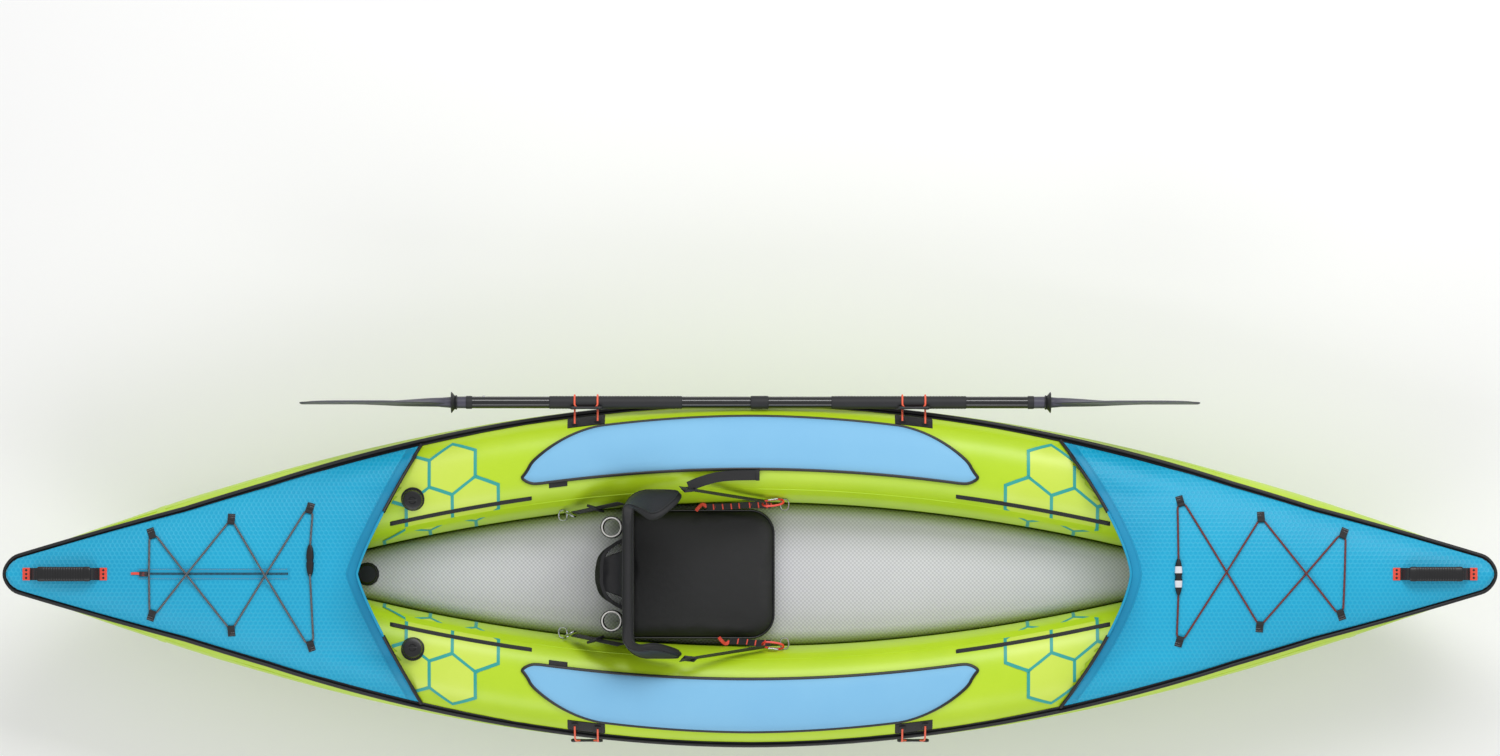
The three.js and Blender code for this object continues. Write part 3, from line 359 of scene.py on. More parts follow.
def tubeSection(x):
    fromTip = halfLength - abs(x)
    wide = beamAt(fromTip)
    halfWidth = min(hull["tubeWidth"], wide - 0.001) / 2
    low = keelAt(fromTip)
    share = clamp((fromTip - hull["sweepStart"]) / (halfLength - hull["sweepStart"]), 0, 1)
    top = lerp(hull["heightAtTip"], hull["tubeHeight"], 1 - (1 - share) ** 1.3)
    halfHeight = (top - low) / 2
    seamZ = hull["seamHeight"] + 0.005 * math.exp(-fromTip / 0.08)
    rise = (seamZ - low - halfHeight) / halfHeight
    seam = math.asin(clamp(signedPower(rise, hull["squareness"] / 2), -0.95, 0.95))
    return {"x": x, "y": wide - halfWidth, "z": low + halfHeight, "a": halfWidth, "b": halfHeight, "seam": seam,
            "low": low}


def tubePoint(section, k, lift=0.0, side=1):
    angles = [section["seam"] + (2 * math.pi if k0 else 0) if a is None else a * math.pi for k0, a in ringKnots]
    at = next(i for i in range(len(ringKnots) - 1) if k <= ringKnots[i + 1][0] + 1e-9)
    share = (k - ringKnots[at][0]) / (ringKnots[at + 1][0] - ringKnots[at][0])
    angle = lerp(angles[at], angles[at + 1], share)
    power = 2 / hull["squareness"]
    y = section["y"] + (section["a"] + lift) * signedPower(math.cos(angle), power)
    z = section["z"] + (section["b"] + lift) * signedPower(math.sin(angle), power)
    return Vector((section["x"], side * y, z))


sectionCache = {}


def sectionAt(x):
    key = round(x, 5)
    if key not in sectionCache:
        section = tubeSection(clamp(x, -skinHalf + 2e-5, skinHalf - 2e-5))
        ring = [tubePoint(section, k / 6) for k in range(0, 97)]
        run = [0.0]
        for a, b in zip(ring, ring[1:]):
            run.append(run[-1] + (b - a).length)
        section["run"] = run
        sectionCache[key] = section
    return sectionCache[key]


# A point on the tube at a run round its section from the gunwale seam, in metres; and at a ring position.
def tubeRun(x, run, lift=0.0, side=1):
    section = sectionAt(x)
    table = section["run"]
    run = clamp(run, 0, table[-1])
    at = next(i for i in range(len(table) - 1) if run <= table[i + 1] + 1e-9)
    k = (at + (run - table[at]) / (table[at + 1] - table[at])) / 6
    return tubePoint(section, k, lift, side)


def tubeRing(x, k, lift=0.0, side=1):
    return tubePoint(sectionAt(x), k, lift, side)


def runOf(x, k):
    table = sectionAt(x)["run"]
    at = min(int(k * 6), len(table) - 2)
    return lerp(table[at], table[at + 1], k * 6 - at)


def tubeNormal(x, k, side=1):
    along = tubeRing(x + 0.004, k, 0, side) - tubeRing(x - 0.004, k, 0, side)
    around = tubeRing(x, min(k + 0.1, 15.9), 0, side) - tubeRing(x, max(k - 0.1, 0.0), 0, side)
    return tubeOut(x, k, along, around, side)


def tubeOut(x, k, along, around, side):
    section = sectionAt(x)
    normal = along.cross(around).normalized()
    centre = Vector((x, side * section["y"], section["z"]))
    return normal if normal.dot(tubeRing(x, k, 0, side) - centre) > 0 else -normal


def deckHeight(x, y):
    section = sectionAt(x)
    seam = tubePoint(section, 0)
    ridge = lerp(hull["ridgeAtTip"], hull["ridgeAtCockpit"], (halfLength - abs(x)) / hull["ridgeLength"])
    share = clamp(abs(y) / max(seam.y, 1e-6), 0, 1)
    crowned = seam.z + (ridge - seam.z) * (1 - share ** 2.2) ** 0.6
    across = clamp((abs(y) - section["y"]) / section["a"], -1, 1)
    power = hull["squareness"]
    tube = section["z"] + section["b"] * (1 - abs(across) ** power) ** (1 / power)
    return max(crowned, tube + 0.0006) + 0.001


coaming = {1: {"apex": 0.927, "side": 0.749, "sideY": 0.339, "power": 1.45},
           -1: {"apex": 0.957, "side": 0.790, "sideY": 0.339, "power": 1.2}}


def coamingX(sign, y):
    edge = coaming[sign]
    return edge["apex"] - (edge["apex"] - edge["side"]) * (abs(y) / edge["sideY"]) ** edge["power"]


def deckNormal(x, y):
    dx = (deckHeight(x + 0.006, y) - deckHeight(x - 0.006, y)) / 0.012
    dy = (deckHeight(x, y + 0.006) - deckHeight(x, y - 0.006)) / 0.012
    return Vector((-dx, -dy, 1)).normalized()


# material parts

def put(tree, kind, values=None, **settings):
    node = tree.nodes.new("ShaderNode" + kind)
    for key, value in settings.items():
        setattr(node, key, value)
    for key, value in (values or {}).items():
        if isinstance(value, bpy.types.NodeSocket):
            tree.links.new(value, node.inputs[key])
        else:
            node.inputs[key].default_value = value
    return node


def startGroup(name, sockets, results):
    tree = bpy.data.node_groups.new(name, "ShaderNodeTree")
    for label, kind, value in sockets:
        socket = tree.interface.new_socket(name=label, in_out="INPUT", socket_type="NodeSocket" + kind)
        if value is not None:
            socket.default_value = value
    for label, kind in results:
        tree.interface.new_socket(name=label, in_out="OUTPUT", socket_type="NodeSocket" + kind)
    return tree, tree.nodes.new("NodeGroupInput"), tree.nodes.new("NodeGroupOutput")


def math2(tree, operation, a, b=0.5, clampIt=False):
    return put(tree, "Math", {0: a, 1: b}, operation=operation, use_clamp=clampIt).outputs[0]


# Plain weave: two crossed rows of threads; Height feeds a bump and Gap marks the holes.
def weaveGroup():
    tree, given, result = startGroup("cloth_weave", [("Vector", "Vector", None), ("Threads", "Float", 900.0)],
                                     [("Height", "Float"), ("Gap", "Float")])
    parts = put(tree, "SeparateXYZ", {0: given.outputs["Vector"]})
    waves = []
    for axis in ("X", "Y"):
        scaled = math2(tree, "MULTIPLY", parts.outputs[axis], given.outputs["Threads"])
        waves.append(math2(tree, "SINE", scaled))
    mixed = math2(tree, "MULTIPLY", waves[0], waves[1])
    height = put(tree, "Math", {0: mixed, 1: 0.5, 2: 0.5}, operation="MULTIPLY_ADD").outputs[0]
    tree.links.new(height, result.inputs["Height"])
    gap = math2(tree, "GREATER_THAN", math2(tree, "ABSOLUTE", mixed), 0.12)
    tree.links.new(gap, result.inputs["Gap"])
    return tree


# Hexagon cells with a pitch: Edge is the distance to the cell's side, in metres.
def hexGroup():
    tree, given, result = startGroup("hex_cells", [("Vector", "Vector", None), ("Pitch", "Float", 0.1)],
                                     [("Edge", "Float"), ("Cell", "Vector")])
    inverse = math2(tree, "DIVIDE", 1.0, given.outputs["Pitch"])
    p = put(tree, "VectorMath", {0: given.outputs["Vector"], "Scale": inverse}, operation="SCALE").outputs[0]
    p = put(tree, "VectorMath", {0: p, 1: (1, 1, 0)}, operation="MULTIPLY").outputs[0]
    half = (0.5, 0.8660254, 0.5)
    minus = (-0.5, -0.8660254, -0.5)
    a = put(tree, "VectorMath", {0: p, 1: half, 2: minus}, operation="WRAP").outputs[0]
    moved = put(tree, "VectorMath", {0: p, 1: half}, operation="ADD").outputs[0]
    b = put(tree, "VectorMath", {0: moved, 1: half, 2: minus}, operation="WRAP").outputs[0]
    a = put(tree, "VectorMath", {0: a, 1: (1, 1, 0)}, operation="MULTIPLY").outputs[0]
    b = put(tree, "VectorMath", {0: b, 1: (1, 1, 0)}, operation="MULTIPLY").outputs[0]
    lengthA = put(tree, "VectorMath", {0: a}, operation="LENGTH").outputs["Value"]
    lengthB = put(tree, "VectorMath", {0: b}, operation="LENGTH").outputs["Value"]
    nearB = math2(tree, "LESS_THAN", lengthB, lengthA)
    offset = put(tree, "VectorMath", {0: b, 1: a}, operation="SUBTRACT").outputs[0]
    offset = put(tree, "VectorMath", {0: offset, "Scale": nearB}, operation="SCALE").outputs[0]
    near = put(tree, "VectorMath", {0: a, 1: offset}, operation="ADD").outputs[0]
    size = put(tree, "VectorMath", {0: near}, operation="ABSOLUTE").outputs[0]
    slant = put(tree, "VectorMath", {0: size, 1: (0.5, 0.8660254, 0)}, operation="DOT_PRODUCT").outputs["Value"]
    across = put(tree, "SeparateXYZ", {0: size}).outputs["X"]
    reach = math2(tree, "MAXIMUM", slant, across)
    edge = math2(tree, "MULTIPLY", math2(tree, "SUBTRACT", 0.5, reach), given.outputs["Pitch"])
    tree.links.new(edge, result.inputs["Edge"])
    cell = put(tree, "VectorMath", {0: p, 1: near}, operation="SUBTRACT").outputs[0]
    tree.links.new(cell, result.inputs["Cell"])
    return tree


# Slow drift of a colour between two tones, for handling, sun and dust.
def driftGroup():
    tree, given, result = startGroup("colour_drift", [("Vector", "Vector", None), ("Scale", "Float", 6.0),
                                                      ("Tone", "Color", (0.5, 0.5, 0.5, 1)),
                                                      ("Other", "Color", (0.6, 0.6, 0.6, 1)),
                                                      ("Amount", "Float", 0.5)], [("Color", "Color")])
    cloud = put(tree, "TexNoise", {"Vector": given.outputs["Vector"], "Scale": given.outputs["Scale"], "Detail": 5.0,
                                   "Roughness": 0.6})
    share = math2(tree, "MULTIPLY", put(tree, "MapRange", {"Value": cloud.outputs[0], "From Min": 0.32,
                                                           "From Max": 0.68}).outputs[0], given.outputs["Amount"])
    mix = put(tree, "MixRGB", {"Fac": share, "Color1": given.outputs["Tone"], "Color2": given.outputs["Other"]})
    tree.links.new(mix.outputs[0], result.inputs["Color"])
    return tree


groups = {"weave": weaveGroup(), "hex": hexGroup(), "drift": driftGroup()}


def useGroup(tree, name, values):
    node = tree.nodes.new("ShaderNodeGroup")
    node.node_tree = groups[name]
    for key, value in values.items():
        if isinstance(value, bpy.types.NodeSocket):
            tree.links.new(value, node.inputs[key])
        else:
            node.inputs[key].default_value = value
    return node


def linear(r, g, b):
    return tuple((c / 12.92 if c <= 0.04045 else ((c + 0.055) / 1.055) ** 2.4) for c in (r / 255, g / 255, b / 255))


# The start of every finish: colour that drifts a little between two tones, and the shader's plain values.
def newFinish(name, tone, other, roughness, drift=6.0, amount=0.5, source="Object", **sockets):
    material = bpy.data.materials.new(name)
    material.use_nodes = True
    tree = material.node_tree
    shader = tree.nodes["Principled BSDF"]
    coords = put(tree, "TexCoord").outputs[source]
    varied = useGroup(tree, "drift", {"Vector": coords, "Scale": drift, "Tone": (*linear(*tone), 1),
                                      "Other": (*linear(*other), 1), "Amount": amount})
    tree.links.new(varied.outputs["Color"], shader.inputs["Base Color"])
    shader.inputs["Roughness"].default_value = roughness
    for key, value in sockets.items():
        shader.inputs[key.replace("_", " ")].default_value = value
    return material, tree, shader, coords


def addBump(tree, shader, height, distance, strength=1.0):
    bump = put(tree, "Bump", {"Height": height, "Distance": distance, "Strength": strength})
    before = shader.inputs["Normal"].links[0].from_socket if shader.inputs["Normal"].links else None
    if before:
        tree.links.new(before, bump.inputs["Normal"])
    tree.links.new(bump.outputs[0], shader.inputs["Normal"])


# Mixes the base colour towards another colour where the mask is high, lighter or darker: the deck and webbing use it
# for painted highlight, the floor for painted shade, the braids for their coloured threads, the black cloth for random
# specks.
def darken(tree, shader, mask, colour, amount):
    base = shader.inputs["Base Color"].links[0].from_socket
    share = math2(tree, "MULTIPLY", mask, amount)
    mix = put(tree, "MixRGB", {"Fac": share, "Color1": base, "Color2": (*linear(*colour), 1)})
    tree.links.new(mix.outputs[0], shader.inputs["Base Color"])


def fineNoise(tree, coords, scale, detail=3.0):
    return put(tree, "TexNoise", {"Vector": coords, "Scale": scale, "Detail": detail}).outputs[0]


moulded = ("moulded", 900.0, 0.00012, 0.5)
# Finishes made alike: two tones, roughness, drift of the tones, its amount, and the grain that roughens them.
plain = {
    # The bottom cloth is a darker copy of the lime: painted shade for the underside.
    "under": ("lime_bottom_cloth_painted_shade", (150, 188, 20), (120, 150, 30), 0.5, 5.0, 0.6, ("noise", 60.0, 0.001, 0.3), {}),
    "teal": ("teal_print", (40, 158, 150), (56, 172, 158), 0.42, 9.0, 0.6, ("noise", 400.0, 0.0001, 0.4), {}),
    "tint": ("pale_lime_print", (206, 228, 84), (196, 222, 60), 0.36, 5.0, 0.6, ("noise", 400.0, 0.0001, 0.4),
             {"Coat_Weight": 0.12, "Coat_Roughness": 0.3}),
    "hem": ("blue_hem_cloth", (0, 148, 190), (4, 160, 202), 0.5, 5.0, 0.6, ("weave", 2600.0, 0.0001, 0.6), {}),
    "pad": ("sky_foam_cloth", (128, 190, 228), (118, 182, 224), 0.62, 3.0, 0.7, ("weave", 1500.0, 0.0002, 0.5),
            {"Sheen_Weight": 0.15}),
    "piping": ("black_piping", (16, 17, 20), (26, 27, 31), 0.46, 20.0, 0.5, ("noise", 500.0, 0.0003, 0.4), {}),
    "net": ("black_net_cord", (22, 22, 25), (36, 36, 40), 0.6, 60.0, 0.5, ("noise", 900.0, 0.0002, 0.5), {}),
    "red": ("red_tape", (226, 66, 48), (238, 86, 62), 0.55, 30.0, 0.7, ("weave", 3400.0, 0.0002, 0.6),
            {"Sheen_Weight": 0.1}),
    "thread": ("pale_thread", (150, 152, 158), (176, 178, 184), 0.55, 200.0, 0.5, None, {}),
    "plastic": ("moulded_plastic", (15, 15, 17), (24, 24, 27), 0.34, 30.0, 0.6, moulded, {}),
    "dullPlastic": ("moulded_dullplastic", (26, 26, 29), (34, 34, 38), 0.6, 30.0, 0.6, moulded, {}),
    "palePlastic": ("moulded_paleplastic", (205, 203, 200), (222, 220, 216), 0.4, 30.0, 0.6, moulded, {}),
    "whitePlastic": ("moulded_whiteplastic", (222, 222, 226), (206, 206, 212), 0.3, 30.0, 0.6, moulded, {}),
    # A dark brown-grey for the inside of the pale rod tubes: painted shade in the bore.
    "boreShade": ("moulded_bore_painted_shade", (70, 62, 56), (96, 84, 74), 0.6, 30.0, 0.6, moulded, {}),
    "redPlastic": ("moulded_redplastic", (226, 58, 40), (236, 76, 54), 0.34, 30.0, 0.6, moulded, {}),
    "blade": ("slate_blade_plastic", (66, 64, 78), (76, 74, 90), 0.46, 6.0, 0.8, ("noise", 260.0, 0.0004, 0.45), {}),
    "shaft": ("black_shaft_lacquer", (12, 12, 14), (20, 20, 23), 0.16, 14.0, 0.6, ("noise", 120.0, 0.0001, 0.3),
              {"Coat_Weight": 0.4, "Coat_Roughness": 0.08}),
    "fin": ("orange_fin_plastic", (236, 84, 38), (244, 104, 54), 0.34, 12.0, 0.7, ("noise", 180.0, 0.0003, 0.35),
            {"Subsurface_Weight": 0.08, "Coat_Weight": 0.2, "Coat_Roughness": 0.25}),
    "metal": ("bright_metal", (176, 178, 182), (200, 202, 206), 0.22, 60.0, 0.5, ("noise", 500.0, 0.0001, 0.3),
              {"Metallic": 1.0}),
    "darkMetal": ("dark_metal", (70, 71, 74), (96, 97, 100), 0.32, 60.0, 0.5, ("noise", 500.0, 0.0001, 0.3),
                  {"Metallic": 1.0})}


def threads(tree, coords, scale):
    return useGroup(tree, "weave", {"Vector": coords, "Threads": scale}).outputs["Height"]


def makeFinishes():
    made = {}
    lime, tree, shader, coords = newFinish("lime_coated_cloth", (176, 212, 20), (196, 226, 44), 0.36, 2.5,
                                                   0.7, Specular_IOR_Level=0.5, Coat_Weight=0.12, Coat_Roughness=0.3)
    weave = useGroup(tree, "weave", {"Vector": coords, "Threads": 3400.0})
    addBump(tree, shader, weave.outputs["Height"], 0.00006, 0.5)
    addBump(tree, shader, fineNoise(tree, coords, 34.0), 0.0012, 0.25)
    made["lime"] = lime
    deck, tree, shader, coords = newFinish("blue_embossed_cloth", (0, 158, 202), (4, 172, 214), 0.44, 3.0,
                                                   0.7, Specular_IOR_Level=0.45)
    cells = useGroup(tree, "hex", {"Vector": coords, "Pitch": 0.0115})
    ridge = put(tree, "MapRange", {"Value": cells.outputs["Edge"], "From Min": 0.0006, "From Max": 0.0028,
                                   "To Min": 1.0, "To Max": 0.0}).outputs[0]
    addBump(tree, shader, ridge, 0.00055, 0.8)
    # The embossed hex ridges are mixed towards a lighter blue: painted highlight on the ridges.
    darken(tree, shader, ridge, (60, 196, 228), 0.3)
    made["deck"] = deck
    floor, tree, shader, coords = newFinish("grey_diamond_cloth", (214, 213, 220), (224, 223, 230), 0.5, 4.0,
                                                    0.6, Specular_IOR_Level=0.4)
    diamonds = useGroup(tree, "weave", {"Vector": coords, "Threads": 640.0})
    addBump(tree, shader, diamonds.outputs["Height"], 0.0006, 0.7)
    # The hollows of the diamond weave are mixed towards grey: painted shade in the hollows.
    low = put(tree, "MapRange", {"Value": diamonds.outputs["Height"], "From Min": 0.1, "From Max": 0.9,
                                 "To Min": 1.0, "To Max": 0.0}).outputs[0]
    darken(tree, shader, low, (150, 150, 160), 0.55)
    made["floor"] = floor
    nylon, tree, shader, coords = newFinish("black_pack_cloth", (13, 13, 16), (21, 21, 25), 0.58, 8.0, 0.7,
                                                    Sheen_Weight=0.05, Sheen_Roughness=0.4)
    weave = useGroup(tree, "weave", {"Vector": coords, "Threads": 4200.0})
    addBump(tree, shader, weave.outputs["Height"], 0.00016, 0.6)
    addBump(tree, shader, fineNoise(tree, coords, 38.0), 0.0018, 0.35)
    darken(tree, shader, fineNoise(tree, coords, 900.0, 1.0), (36, 36, 41), 0.2)
    made["nylon"] = nylon
    webbing, tree, shader, coords = newFinish("black_webbing", (11, 11, 13), (19, 19, 22), 0.58, 20.0, 0.7,
                                                      "UV", Sheen_Weight=0.04)
    ribs = useGroup(tree, "weave", {"Vector": coords, "Threads": 3000.0})
    addBump(tree, shader, ribs.outputs["Height"], 0.0003, 0.7)
    # The raised threads are mixed towards a lighter grey: painted highlight on the ribs.
    darken(tree, shader, ribs.outputs["Height"], (38, 38, 43), 0.35)
    made["webbing"] = webbing
    for name, fleck in (("braid", (176, 178, 182)), ("redBraid", (206, 70, 56))):
        braid, tree, shader, coords = newFinish("cord_" + name.lower(), (30, 30, 34), (44, 44, 48), 0.6,
                                                        200.0, 0.6, "UV")
        spiral = put(tree, "Mapping", {"Vector": coords, "Rotation": (0, 0, math.radians(38))}).outputs[0]
        checks = useGroup(tree, "weave", {"Vector": spiral, "Threads": 1500.0})
        addBump(tree, shader, checks.outputs["Height"], 0.0004, 0.8)
        flecks = put(tree, "MapRange", {"Value": checks.outputs["Height"], "From Min": 0.55,
                                        "From Max": 0.8}).outputs[0]
        darken(tree, shader, flecks, fleck, 0.85)
        made[name] = braid
    coral, tree, shader, coords = newFinish("coral_elastic", (244, 96, 66), (252, 120, 88), 0.5, 60.0, 0.6,
                                                    "UV")
    spiral = put(tree, "Mapping", {"Vector": coords, "Rotation": (0, 0, math.radians(38))}).outputs[0]
    checks = useGroup(tree, "weave", {"Vector": spiral, "Threads": 2600.0})
    addBump(tree, shader, checks.outputs["Height"], 0.0003, 0.8)
    made["coral"] = coral
    for name, (label, tone, other, rough, drift, amount, grain, sockets) in plain.items():
        made[name], tree, shader, coords = newFinish(label, tone, other, rough, drift, amount, **sockets)
        if grain:
            kind, scale, depth, strength = grain
            detail = 2.0 if kind == "moulded" else 3.0
            height = threads(tree, coords, scale) if kind == "weave" else fineNoise(tree, coords, scale, detail)
            addBump(tree, shader, height, depth, strength)
    return made


finishes = makeFinishes()
print("finishes made")

# tubes, floor and bottom

tubeParts = {"columns": 220, "rings": 64, "pucker": 0.0007, "swell": 0.0014, "seamTape": 0.022}
sides = {"port": 1, "starboard": -1}
ends = {"bow": 1, "stern": -1}


def tubeStations(count):
    made = []
    for i in range(count + 1):
        t = 2 * i / count - 1
        made.append(math.copysign(skinHalf * (1 - (1 - abs(t)) ** 1.8), t))
    return made


# Small puckers beside the gunwale seam, and slow waves in the cloth towards the tips.
def tubeRipple(x, k, side):
    fromSeam = min(k, 16 - k)
    near = math.exp(-(fromSeam / 0.9) ** 2)
    pucker = noise.noise(Vector((x * 34, side * 3.1, fromSeam * 0.4)))
    tips = smoothStep((abs(x) - 0.7) / 0.9)
    swell = noise.noise(Vector((x * 5.5 + 9, k * 0.42, side * 7.7)))
    crease = noise.noise(Vector((x * 19, k * 0.25 + 4, side * 2.3)))
    return tubeParts["pucker"] * near * pucker + tubeParts["swell"] * (0.25 + tips) * swell + 0.0006 * tips * crease


def makeTubes():
    for label, side in sides.items():
        points, uvs = [], []
        for x in tubeStations(tubeParts["columns"]):
            column, runs = [], []
            for j in range(tubeParts["rings"] + 1):
                k = 16 * j / tubeParts["rings"]
                lift = tubeRipple(x, k % 16, side)
                if abs(x) > 0.55 and 0 < k < 6.5:
                    lift -= 0.0012 * smoothStep((abs(x) - 0.55) / 0.2)
                column.append(tubeRing(x, k, lift, side))
                runs.append((x, runOf(x, k)))
            points.append(column)
            uvs.append(runs)
        bm = gridMesh(points, uvs)
        sealEnds(bm)
        tube = makePiece(label + "_tube", bm, "lime", "hull",
                         (label + "_bladder", label + "_side_skin", label + "_tube_cover"), 60)


# A band of cloth laid on a tube between two runs round its section, as a raised strip with soft edges.
def tubeBand(xs, runA, runB, proud, side, across=4, ends=True, bm=None, material=0, lift=0.0):
    points, uvs = [], []
    for i, x in enumerate(xs):
        a, b = runA(x) if callable(runA) else runA, runB(x) if callable(runB) else runB
        edge = 0.0 if ends and i in (0, len(xs) - 1) else 1.0
        stops = [a, a + 0.0008] + spaced(a + 0.0008, b - 0.0008, across)[1:-1] + [b - 0.0008, b]
        heights = [-0.0012] + [proud * edge - 0.0012 * (1 - edge)] * (len(stops) - 2) + [-0.0012]
        points.append([tubeRun(x, s, lift + h, side) for s, h in zip(stops, heights)])
        uvs.append([(x, s) for s in stops])
    part = gridMesh(points, uvs, None, material)
    middle = points[len(points) // 2][len(points[0]) // 2]
    section = sectionAt(middle.x)
    faceAlong(part, middle - Vector((middle.x, side * section["y"], section["z"])))
    return part if bm is None else joinInto(bm, part)


def makeSeamTapes():
    for label, side in sides.items():
        bm = None
        for x0, x1 in ((-1.80, -0.9), (-0.9, 0.9), (0.9, 1.80)):
            xs = spaced(x0, x1, 50)
            bm = tubeBand(xs, lambda x: runOf(x, 14.9), lambda x: runOf(x, 14.9) + 0.016, 0.0005, side, 2, False, bm)
        xs = spaced(-0.86, 0.86, 90)
        bm = tubeBand(xs, lambda x: runOf(x, 4.98), lambda x: runOf(x, 4.98) + tubeParts["seamTape"], 0.0008, side, 2,
                      True, bm)
        for x in (-1.443, 1.477):  # the end panels overlap the middle one here
            xs = spaced(x - 0.012, x + 0.012, 6)
            bm = tubeBand(xs, lambda x: runOf(x, 12.05), lambda x: runOf(x, 15.7), 0.0008, side, 26, True, bm)
        makePiece(label + "_seam_tape", bm, "lime", outward=False)


bottomParts = {"thick": 0.0012}


def makeBottom():
    points, uvs = [], []
    for x in tubeStations(120):
        section = sectionAt(x)
        column = []
        for j in range(25):
            t = 2 * j / 24 - 1
            edge = tubePoint(section, 11.6, 0.0006)
            flat = tubePoint(section, 11)
            y = abs(t) * edge.y
            if y <= flat.y:
                z = section["low"]
            else:
                share = (y - flat.y) / max(edge.y - flat.y, 1e-6)
                z = tubePoint(section, lerp(11, 11.6, share)).z
                y = tubePoint(section, lerp(11, 11.6, share)).y
            column.append(Vector((x, math.copysign(y, t), z - 0.0005)))
        points.append(column)
        uvs.append([(p.x, p.y) for p in column])
    bm = faceAlong(gridMesh(points, uvs), (0, 0, -1))
    # The bottom panel takes the darker lime, painted shade for the underside.
    bottom = makePiece("bottom_panel", bm, "under", "hull", ("bottom_skin",),
                       outward=False)
    addWall(bottom, bottomParts["thick"])


floorParts = {"end": 1.03, "top": 0.1, "bottom": 0.0015, "gap": 0.002, "edge": 0.034}


# The drop-stitch floor: flat faces, full round edges, and rounded ends that grow thinner and narrower under the decks.
def makeFloor():
    xs = spaced(-floorParts["end"], floorParts["end"], 150)
    points, uvs = [], []
    thick = floorParts["top"] - floorParts["bottom"]
    for x in xs:
        inner = tubeRing(x, 7).y - floorParts["gap"]
        toEnd = clamp((floorParts["end"] - abs(x)) / 0.05, 0, 1)
        half = inner * (0.72 + 0.28 * math.sqrt(1 - (1 - toEnd) ** 2))
        squash = lerp(0.35, 1.0, math.sqrt(1 - (1 - toEnd) ** 2))
        ring = []
        for j in range(33):
            angle = 2 * math.pi * j / 32
            c, s = math.cos(angle), math.sin(angle)
            flat = half - floorParts["edge"]
            if abs(s) > abs(c):
                y = c / abs(s) * flat
                z = math.copysign(thick / 2, s)
            else:
                z = thick / 2 * math.sin(s / abs(c) * math.pi / 2)
                y = math.copysign(flat + floorParts["edge"] * math.cos(s / abs(c) * math.pi / 2), c)
            z = floorParts["bottom"] + thick / 2 + z * squash
            ring.append(Vector((x, y, z)))
        points.append(ring)
        uvs.append([(x, j * 0.02) for j in range(33)])
    bm = gridMesh(points, uvs)
    sealEnds(bm)
    floor = makePiece("drop_stitch_floor", bm, "floor", "hull", ("floor_chamber",), 50)


# teal hexagons printed on the tube tops

printParts = {"pitch": 0.1125, "line": 0.0078, "lift": 0.0006,
              "bow": {"origin": (0.6795, 0.196), "cells": [(0, 0), (1, 0), (0.5, -1), (1.5, -1), (0.5, 1)]},
              "stern": {"origin": (-0.783, 0.196), "cells": [(0, 0), (1, 0), (0.5, -1), (-0.5, -1), (0.5, 1),
                                                         (-0.5, 1)]}}


def hexCorners(centre, pitch):
    return [Vector((centre[0] + pitch / math.sqrt(3) * math.sin(math.radians(60 * i)),
                    centre[1] + pitch / math.sqrt(3) * math.cos(math.radians(60 * i)))) for i in range(6)]


def makePrints():
    pitch = printParts["pitch"]
    for label, side in sides.items():
        for end, sign in ends.items():
            plan = printParts[end]
            edges = {}
            fills = bmesh.new()
            for column, row in plan["cells"]:
                centre = (plan["origin"][0] + column * pitch,
                          plan["origin"][1] + row * pitch * math.sqrt(3) / 2)
                corners = hexCorners(centre, pitch)
                for a, b in zip(corners, corners[1:] + corners[:1]):
                    key = tuple(sorted(((round(a.x, 3), round(a.y, 3)), (round(b.x, 3), round(b.y, 3)))))
                    edges[key] = (a, b)
                if row != 1:
                    layHexagon(fills, centre, pitch * 0.93, side, sign)
            lines = bmesh.new()
            for a, b in edges.values():
                layLine(lines, a, b, side, sign)
            makePiece(label + "_" + end + "_hexagons", lines, "teal", outward=False)
            makePiece(label + "_" + end + "_hexagon_fill", fills, "tint", outward=False)


def underDeck(x, y, sign):
    return sign * x > coamingX(sign, y) - 0.004


def layLine(bm, a, b, side, sign):
    along = (b - a).normalized()
    across = Vector((-along.y, along.x)) * printParts["line"] / 2
    steps = 10
    tips = [a - along * printParts["line"] * 0.28, b + along * printParts["line"] * 0.28]
    for i in range(steps):
        corners = []
        for t, w in ((i, -1), (i + 1, -1), (i + 1, 1), (i, 1)):
            p = tips[0].lerp(tips[1], t / steps) + across * w
            if p.y < 0.012 or p.y > runOf(p.x, 8.4):
                break
            corners.append(tubeRun(p.x, p.y, printParts["lift"], side))
        if len(corners) < 4 or underDeck(corners[0].x, corners[0].y, sign):
            continue
        face = bm.faces.new([bm.verts.new(c) for c in corners])
        outwardFace(face, side)


def outwardFace(face, side):
    face.normal_update()
    middle = face.calc_center_median()
    section = sectionAt(middle.x)
    if face.normal.dot(middle - Vector((middle.x, side * section["y"], section["z"]))) < 0:
        face.normal_flip()


def layHexagon(bm, centre, pitch, side, sign):
    middle = Vector(centre)
    corners = hexCorners(centre, pitch)
    rings = 5
    for a, b in zip(corners, corners[1:] + corners[:1]):
        for r in range(rings):
            for c in range(r + 1):
                tris = [((r, c), (r + 1, c), (r + 1, c + 1))]
                if c < r:
                    tris.append(((r, c), (r + 1, c + 1), (r, c + 1)))
                for tri in tris:
                    spots = []
                    for u, w in tri:
                        inner = middle.lerp(a, u / rings)
                        outer = middle.lerp(b, u / rings)
                        spots.append(inner.lerp(outer, w / u if u else 0))
                    if any(s.y < 0.012 for s in spots):
                        continue
                    places = [tubeRun(s.x, s.y, printParts["lift"] * 0.5, side) for s in spots]
                    if underDeck(places[0].x, places[0].y, sign):
                        continue
                    outwardFace(bm.faces.new([bm.verts.new(p) for p in places]), side)


# gunwale piping

pipingParts = {"radius": 0.005, "flangeFrom": 0.001, "flangeTo": 0.013, "flangeLift": 0.0016}


